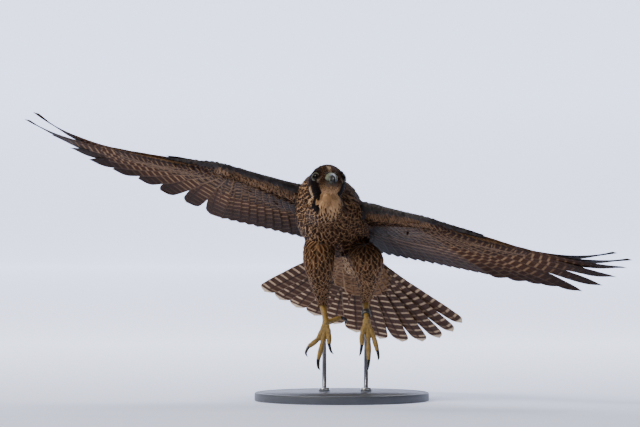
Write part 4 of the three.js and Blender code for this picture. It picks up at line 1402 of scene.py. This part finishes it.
def make_wings():
    """The flight feathers, greater and median coverts and alula of both wings."""
    material = feather_finish("flight_vanes", 0.5)
    rng = np.random.default_rng(settings("feathers").seed + 1)
    for name, wing in WING.items():
        vanes = wing_vanes(wing)
        plumes = Plumes(len(vanes) * 9 + 6)
        for vane in vanes:
            plumes.add(vane, flight_look, rng, **QUILL_GRID)
        for i, vane in enumerate(vanes):
            for share, lift, back in ARM_COVERT_ROWS if i < SECONDARIES else HAND_COVERT_ROWS:
                plumes.add(vane.cover(share, lift, 0.95, back), covert_look, rng, **COVERT_GRID)
                plumes.add(vane.cover(share * 0.94, -lift, 0.95, back), covert_look, rng, **COVERT_GRID)
        for i, vane in enumerate(vanes):
            for lower in (False, True):
                plumes.add(seam_vane(vane, i, lower), covert_look, rng, **COVERT_GRID)
        for i, length in enumerate(ALULA_LENGTHS):
            root = wing.off_wrist(4, 3 + 2 * i, 1.5 + 1.1 * i)
            tip = wing.off_wrist(length, -3 + 3 * i, 2 + 1.1 * i)
            alula = Vane(root, tip, wing.hand_up, -wing.hand_aft, 3.5, 7, pointed=1.0)
            plumes.add(alula, flight_look, rng, **ALULA_GRID)
        plumes.piece("feathers_wing_" + name, material, ["wing_" + name])


def make_tail():
    """The twelve tail feathers and the coverts over and under their roots."""
    material = feather_finish("tail_vanes", 0.5)
    rng = np.random.default_rng(settings("feathers").seed + 2)
    vanes = tail_vanes()
    plumes = Plumes(len(vanes) * 7)
    for vane in vanes:
        plumes.add(vane, tail_look, rng, **TAIL_GRID)
    for i, vane in enumerate(vanes):
        middle = 1.15 - 0.6 * abs(i / (RECTRICES - 1) * 2 - 1)
        for share, lift in TAIL_COVERT_ROWS:
            plumes.add(vane.cover(share, lift, 0.95), covert_look, rng, **COVERT_GRID)
            plumes.add(vane.cover(share * middle, -lift, 0.8), undertail_look, rng, **COVERT_GRID)
    plumes.piece("feathers_tail", material, ["tail"])


# Head details

UPPER_BILL = [(0, 8.4, 8.4, 3.6, 0.5), (6, 7.2, 7.8, 3.4, 0.3), (11, 5.7, 6.9, 3.2, -0.2),
              (16, 4.2, 5.9, 3.4, -1.6), (20, 2.9, 4.8, 4.0, -3.4), (22.6, 1.8, 3.2, 4.2, -6.2),
              (23.2, 0.9, 1.5, 3.4, -9)]
LOWER_BILL = [(-2, 5.6, 4.2, 2.6, -7.2), (5, 4.8, 3.8, 2.2, -7.6), (11, 3.8, 3.6, 1.9, -8.1),
              (15, 3.0, 3.0, 1.5, -8.6), (17.4, 2.2, 2.0, 1.0, -9)]
CERE = [(-1.5, 9.6, 9.0, 3.0, 0.6), (1.5, 9.7, 8.9, 3.2, 0.6), (5, 8.9, 8.6, 3.3, 0.5),
        (7.6, 7.9, 8.4, 3.2, 0.3), (8.8, 7.2, 7.6, 2.9, 0.2)]
BILL_REACH, UPPER_DROP = 24, 2
TOOTH = [(4.2, 15.5, -5.6), (4.0, 16.6, -7.6), (3.6, 17.2, -9.2)]
NOSTRIL_HOLE = [(0.01, 0.3), (0.9, 0.3), (1.3, 0.25), (1.4, -0.5), (1.0, -0.9), (0.01, -0.9)]
NOSTRIL_RIM = [(1.3, -0.6), (2.0, -0.5), (2.2, 0.1), (1.85, 0.55), (1.4, 0.45), (1.3, -0.6)]
NOSTRIL_RISE = math.radians(24)
RING_STEPS, TUBE_STEPS = 120, 14


def bill_form(shape, drop=0):
    """A form along the bill, from mm ahead of its root, half width, heights above and below, and lift."""
    stations = [(on_head(0, BILL_ROOT + ahead, up - drop), wide, high, low, HEAD.left, HEAD.up)
                for ahead, wide, high, low, up in shape]
    return formed(stations, 44, 48)


def along_bill(form):
    """Share of the way from the bill's root to its tip, for each of the form's points."""
    return {"along": (form[0] - on_head(0, BILL_ROOT, 0)) @ HEAD.forward / BILL_REACH}


def eye_ring(side):
    """The bare ring round an eye, scalloped like beads, thicker above where the brow presses it."""
    around = np.linspace(0, 2 * math.pi, RING_STEPS, endpoint=False)[:, None]
    turn = np.linspace(0, 2 * math.pi, TUBE_STEPS, endpoint=False)[None]
    tube = 0.8 + 0.1 * np.abs(np.sin(around * 16)) + 0.12 * np.sin(around)
    reach = EYE_RADIUS * 0.67 + tube * np.cos(turn)
    places = np.stack([reach * np.cos(around), reach * np.sin(around), tube * 0.8 * np.sin(turn)], -1)
    i, j = np.meshgrid(np.arange(RING_STEPS), np.arange(TUBE_STEPS), indexing="ij")
    near, far = i * TUBE_STEPS, (i + 1) % RING_STEPS * TUBE_STEPS
    after = (j + 1) % TUBE_STEPS
    faces = np.stack([near + j, near + after, far + after, far + j], -1).reshape(-1, 4)[:, ::-1]
    centre = eye_centre(side) + eye_way(side) * EYE_RADIUS * 0.7
    return placed((places.reshape(-1, 3), [faces]), centre, eye_way(side))


def eyeball(side):
    """A ball with a low cornea, and the share of the way from its rim to its pupil at each point."""
    places, faces = ball(vec(0, 0, 0), 1, 64, 40)
    dome = np.clip((places[:, 2] - 0.55) / 0.45, 0, 1)
    places = places * (EYE_RADIUS - 0.5 + 0.3 * dome**2)[:, None]
    height = np.clip(places[:, 2] / np.linalg.norm(places, axis=1), -1, 1)
    return placed((places, faces), eye_centre(side), eye_way(side)), 1 - np.arccos(height) / (math.pi / 2)


def make_face():
    """Eyes, eye rings, cere, nostrils and both halves of the bill."""
    face, pale, tip = colours("face_skin", "horn", "horn_tip")
    wet = eye_finish(colour("iris"))
    lids = waxy_finish("eyelid_skin", face * 0.42, face * 0.2)
    waxy = waxy_finish("bare_face_skin", face, face * 0.55)
    horn = horn_finish("bill_horn", pale, tip, 0.42, 0.85)
    # painted shade: the lower bill gets the bill's horn at half its paleness, darkening sooner along it, for
    # the shade under the upper bill
    shaded_horn = horn_finish("lower_bill_horn_painted_shade", pale * 0.5, tip, 0.2, 0.7)
    # painted shadow: each nostril opening is a near-black plug that stands in for the shade inside the hole
    dark = horn_finish("nostril_painted_shadow", vec(0.004, 0.004, 0.004), vec(0.004, 0.004, 0.004), 0, 1)
    for name, side in SIDES.items():
        form, pupil = eyeball(side)
        form_piece("eyeball_" + name, form, wet, ["eye_" + name], {"pupil": pupil})
        form_piece("eye_ring_" + name, eye_ring(side), lids)
    teeth = [limb([on_head(side * across, BILL_ROOT + ahead, up) for across, ahead, up in TOOTH],
                  [1.7, 1.4, 0.5], 14, 12) for side in SIDES.values()]
    upper, lower = together([bill_form(UPPER_BILL, UPPER_DROP), *teeth]), bill_form(LOWER_BILL)
    form_piece("bill_top", upper, horn, ["bill_upper"], along_bill(upper))
    form_piece("bill_bottom", lower, shaded_horn, ["bill_lower"], along_bill(lower))
    form_piece("cere", bill_form(CERE, UPPER_DROP), waxy)
    for name, side in SIDES.items():
        wide, high = math.cos(NOSTRIL_RISE), math.sin(NOSTRIL_RISE)
        centre = on_head(side * 8.7 * wide, BILL_ROOT + 5.2, 8.9 * high - 1.5)
        out = unit(side * wide * HEAD.left + 0.28 * HEAD.forward + high * HEAD.up)
        form_piece("nostril_" + name, placed(turned(NOSTRIL_HOLE, 28), centre, out), dark)
        form_piece("nostril_rim_" + name, placed(hoop(NOSTRIL_RIM, 28), centre, out), waxy)


# Legs

SHANK_RADII = [4.4, 4.8, 4.2, 3.9, 3.8, 4.2]
TOE_RADII = [4.6, 4.3, 3.6, 4.1, 3.3, 3.7, 2.6]
CLAW_RADII = [2.1, 2.7, 2.4, 1.5, 0.3]
SCUTES_ON_SHANK, SCUTE_LENGTH_ON_TOE = 15, 2.6
RING_PROFILE = [(5.2, -4.2), (5.45, -4.5), (6.15, -4.5), (6.4, -4.2), (6.4, 4.2), (6.15, 4.5), (5.45, 4.5),
                (5.2, 4.2), (5.2, -4.2)]
RING_ABOVE_FOOT = 19


def scutes(number, height):
    """Overlapping plates along a limb, as a swell of its radius."""
    def swell(share, turn):
        saw = (share * number) % 1
        return height * (saw**1.5 - 0.4) * (0.6 + 0.4 * np.cos(turn))
    return swell


def toe_forms(foot, middle, end):
    """A scaled toe and the pads under its joints."""
    points = [foot, foot + middle / 2, foot + middle, foot + end]
    plates = scutes(int(np.linalg.norm(end) / SCUTE_LENGTH_ON_TOE), 0.42)
    joints = [(middle * 0.62, 3.1), (middle, 3.3), (end * 0.93, 2.9)]
    pads = [ball(foot + joint + vec(0, 1.7, -0.4), radius, 18, 12, (0.95, 0.9, 1.25))
            for joint, radius in joints]
    return [limb(points, TOE_RADII, 24, 90, plates), *pads]


def claw_form(foot, middle, end, tip):
    """A claw that leaves the toe along its last joint and hooks down to its point."""
    way, start, point = unit(end - middle), foot + end, foot + tip
    crook = mixed(start, point, 0.42) + 4.2 * way + vec(0, -3, 0)
    return limb([start - 3.5 * way, start, crook, point], CLAW_RADII, 24, 40, flat=0.86)


def make_legs():
    """Tarsi, toes and claws of both feet, and the ring on the left leg."""
    skin = scale_finish(colour("feet"), colour("feet") * 0.3)
    horn = horn_finish("claw_horn", colour("claws") * 1.5, colour("claws"), 0, 1)
    for name, leg in LEGS.items():
        foot, ankle = leg["foot"], leg["ankle"]
        toes = [[vec(*place) for place in toe] for toe in leg["toes"]]
        line = [mixed(foot, ankle, 1.08), mixed(ankle, foot, 0.5), foot]
        shank = limb(line, SHANK_RADII, 28, 90, scutes(SCUTES_ON_SHANK, 0.35))
        form_piece("shank_" + name, shank, skin, ["tarsus_" + name])
        forms = [ball(foot, 5.6, 28, 20)]
        for middle, end, _ in toes:
            forms += toe_forms(foot, middle, end)
        piece_of(fused("toes_" + name, together(forms), TOE_VOXEL, 3), skin, ["foot_" + name])
        for i, toe in enumerate(toes, 1):
            claw = claw_form(foot, *toe)
            along = {"along": np.linspace(0, 1, len(claw[0]))}
            form_piece("talon_%s_%d" % (name, i), claw, horn, ["claw_%s_%d" % (name, i)], along)
    foot = LEGS["l"]["foot"]
    axis = unit(LEGS["l"]["ankle"] - foot)
    dull = metal_finish("ring_metal", settings("stand").ring_colour, 0.42, 1800)
    band = placed(hoop(RING_PROFILE, 72), foot + RING_ABOVE_FOOT * axis, axis)
    form_piece("ring_band", band, dull, ["leg_ring_l"])


# Stand

BASE_RADIUS, BASE_HEIGHT, ROD_RADIUS, ROD_Y = 125, 12, 3, 21
RODS = {"r": (-25, 228), "l": (35, 226)}
GROOVE = [(-8.0, 0), (-8.4, -0.6), (-9.0, -0.6), (-9.4, 0)]
COLLAR = [(3.1, 0), (7.6, 0), (8.0, 0.4), (8.0, 4.2), (7.4, 4.9), (3.6, 5.6), (3.1, 5.6)]
ROD_FOOT = BASE_HEIGHT + 0.3


def make_stand():
    """The round plate and the two rods that carry the bird, with a small collar at each rod's foot."""
    stand = settings("stand")
    powder = powder_finish(stand.plate_colour)
    steel = metal_finish("rod_steel", stand.rod_colour, 0.3, 1400)
    edge = stand.plate_edge / MM
    corner = [(BASE_RADIUS - edge + edge * math.sin(a), BASE_HEIGHT - edge + edge * math.cos(a))
              for a in np.linspace(math.pi / 2, 0, 9)]
    groove = [(BASE_RADIUS + out, BASE_HEIGHT + up) for out, up in GROOVE]
    profile = [(1, 0), (BASE_RADIUS - 1, 0), (BASE_RADIUS, 1), *corner, *groove, (1, BASE_HEIGHT)]
    form_piece("base_plate", turned(profile, 192), powder, ["stand_base"])
    for name, (x, top) in RODS.items():
        rod = turned([(ROD_RADIUS, ROD_FOOT), (ROD_RADIUS, top - 1), (ROD_RADIUS - 0.8, top)], 48)
        form_piece("rod_" + name, placed(rod, vec(x, ROD_Y, 0)), steel, ["stand_rod_" + name])
        collar = placed(turned(COLLAR, 64), vec(x, ROD_Y, ROD_FOOT))
        form_piece("collar_" + name, collar, steel)


# Stage

CAMERA_PLACE, FOCAL_LENGTH, SENSOR_WIDTH = (-31.2, -5094, 268), 200, 36
FLOOR_REACH, WALL_BEND, WALL_HEIGHT = 13000, 900, 12000
LIGHT_TARGET = (0, 0, 260)
LIGHTS = {
    "key": dict(place=(-2700, -1500, 3200), share=1, size=1.3, colour=(1.0, 0.94, 0.86)),
    "fill": dict(place=(2600, -3200, 1200), share=0.05, size=2.4, colour=(0.9, 0.94, 1.0)),
    "back": dict(place=(600, 1300, 2600), share=0.3, size=1.6, colour=(1.0, 1.0, 1.0)),
}


def make_stage():
    """A pale floor that rises into a backdrop, soft studio light and the camera at the photograph's angle."""
    stage, scene = settings("stage"), bpy.context.scene
    profile = [(-FLOOR_REACH, 0), (FLOOR_REACH, 0)]
    profile += [(FLOOR_REACH + WALL_BEND * math.sin(a), WALL_BEND * (1 - math.cos(a)))
                for a in np.linspace(0.08, math.pi / 2, 16)]
    profile += [(FLOOR_REACH + WALL_BEND, WALL_HEIGHT)]
    places = [(x, y, z) for y, z in profile for x in (-FLOOR_REACH, FLOOR_REACH)]
    mesh = mesh_of("floor", places, [grid_faces(len(profile), 2)])
    mesh.materials.append(paper_finish(stage.backdrop))
    into_scene("floor", mesh)

    scene.world = scene.world or bpy.data.worlds.new("studio")
    scene.world.use_nodes = True
    sky = scene.world.node_tree.nodes["Background"]
    sky.inputs["Color"].default_value = (0.97, 0.97, 1.0, 1)
    sky.inputs["Strength"].default_value = stage.sky

    for name, plan in LIGHTS.items():
        lamp = bpy.data.lights.new(name, "AREA")
        lamp.energy, lamp.size, lamp.color = stage.key_power * plan["share"], plan["size"], plan["colour"]
        light = into_scene(name, lamp)
        light.location = Vector(plan["place"]) * MM
        aim = Vector(LIGHT_TARGET) * MM - light.location
        light.rotation_euler = aim.to_track_quat("-Z", "Y").to_euler()

    lens = bpy.data.cameras.new("camera")
    lens.lens, lens.sensor_width, lens.clip_end = FOCAL_LENGTH, SENSOR_WIDTH, 100
    camera = into_scene("camera", lens)
    camera.location = Vector(CAMERA_PLACE) * MM
    camera.rotation_euler = (math.pi / 2, 0, 0)
    scene.camera = camera


# Operators

class FALCON_OT_skin(bpy.types.Operator):
    """Melt head, neck, trunk, thighs and wing flesh into one skin that lies under the plumage"""

    bl_idname = "falcon.skin"
    bl_label = "Skin"

    def execute(self, context):
        make_skin()
        return {"FINISHED"}


class FALCON_OT_coat(bpy.types.Operator):
    """Grow the small feathers of head, body, thighs and wings over the skin"""

    bl_idname = "falcon.coat"
    bl_label = "Small feathers"

    def execute(self, context):
        make_coat()
        return {"FINISHED"}


class FALCON_OT_wings(bpy.types.Operator):
    """Build the flight feathers, coverts and alula of both wings"""

    bl_idname = "falcon.wings"
    bl_label = "Wing feathers"

    def execute(self, context):
        make_wings()
        return {"FINISHED"}


class FALCON_OT_tail(bpy.types.Operator):
    """Build the fan of tail feathers and its coverts"""

    bl_idname = "falcon.tail"
    bl_label = "Tail feathers"

    def execute(self, context):
        make_tail()
        return {"FINISHED"}


class FALCON_OT_face(bpy.types.Operator):
    """Build the eyes, the bare skin round them, the cere and the bill"""

    bl_idname = "falcon.face"
    bl_label = "Eyes and bill"

    def execute(self, context):
        make_face()
        return {"FINISHED"}


class FALCON_OT_legs(bpy.types.Operator):
    """Build the scaly legs and toes, the claws and the leg ring"""

    bl_idname = "falcon.legs"
    bl_label = "Legs and ring"

    def execute(self, context):
        make_legs()
        return {"FINISHED"}


class FALCON_OT_stand(bpy.types.Operator):
    """Build the round plate and the two rods"""

    bl_idname = "falcon.stand"
    bl_label = "Stand"

    def execute(self, context):
        make_stand()
        return {"FINISHED"}


class FALCON_OT_stage(bpy.types.Operator):
    """Set up floor, backdrop, lights and camera"""

    bl_idname = "falcon.stage"
    bl_label = "Stage"

    def execute(self, context):
        make_stage()
        return {"FINISHED"}


OPERATORS = (FALCON_OT_skin, FALCON_OT_coat, FALCON_OT_wings, FALCON_OT_tail, FALCON_OT_face, FALCON_OT_legs,
             FALCON_OT_stand, FALCON_OT_stage)


class FALCON_PT_sidebar(bpy.types.Panel):
    """The falcon's pieces, with the sizes and colours they are made from"""

    bl_label = "Falcon"
    bl_idname = "FALCON_PT_sidebar"
    bl_space_type = "VIEW_3D"
    bl_region_type = "UI"
    bl_category = "Falcon"

    def draw(self, context):
        for group in GROUPS:
            box = self.layout.box()
            owner = settings(group)
            for key in owner.__annotations__:
                box.prop(owner, key)
        for operator in OPERATORS:
            self.layout.operator(operator.bl_idname)


GROUPS = {"feathers": FalconFeathers, "colours": FalconColours, "stand": FalconStand, "stage": FalconStage}


def register():
    for kind in (*GROUPS.values(), *OPERATORS, FALCON_PT_sidebar):
        bpy.utils.register_class(kind)
    for key, kind in GROUPS.items():
        setattr(bpy.types.Scene, "falcon_" + key, PointerProperty(type=kind))


def unregister():
    for key in GROUPS:
        delattr(bpy.types.Scene, "falcon_" + key)
    for kind in (FALCON_PT_sidebar, *OPERATORS, *GROUPS.values()):
        bpy.utils.unregister_class(kind)


def main():
    register()
    bpy.ops.falcon.skin()
    bpy.ops.falcon.coat()
    bpy.ops.falcon.wings()
    bpy.ops.falcon.tail()
    bpy.ops.falcon.face()
    bpy.ops.falcon.legs()
    bpy.ops.falcon.stand()
    bpy.ops.falcon.stage()


if __name__ == "__main__":
    main()
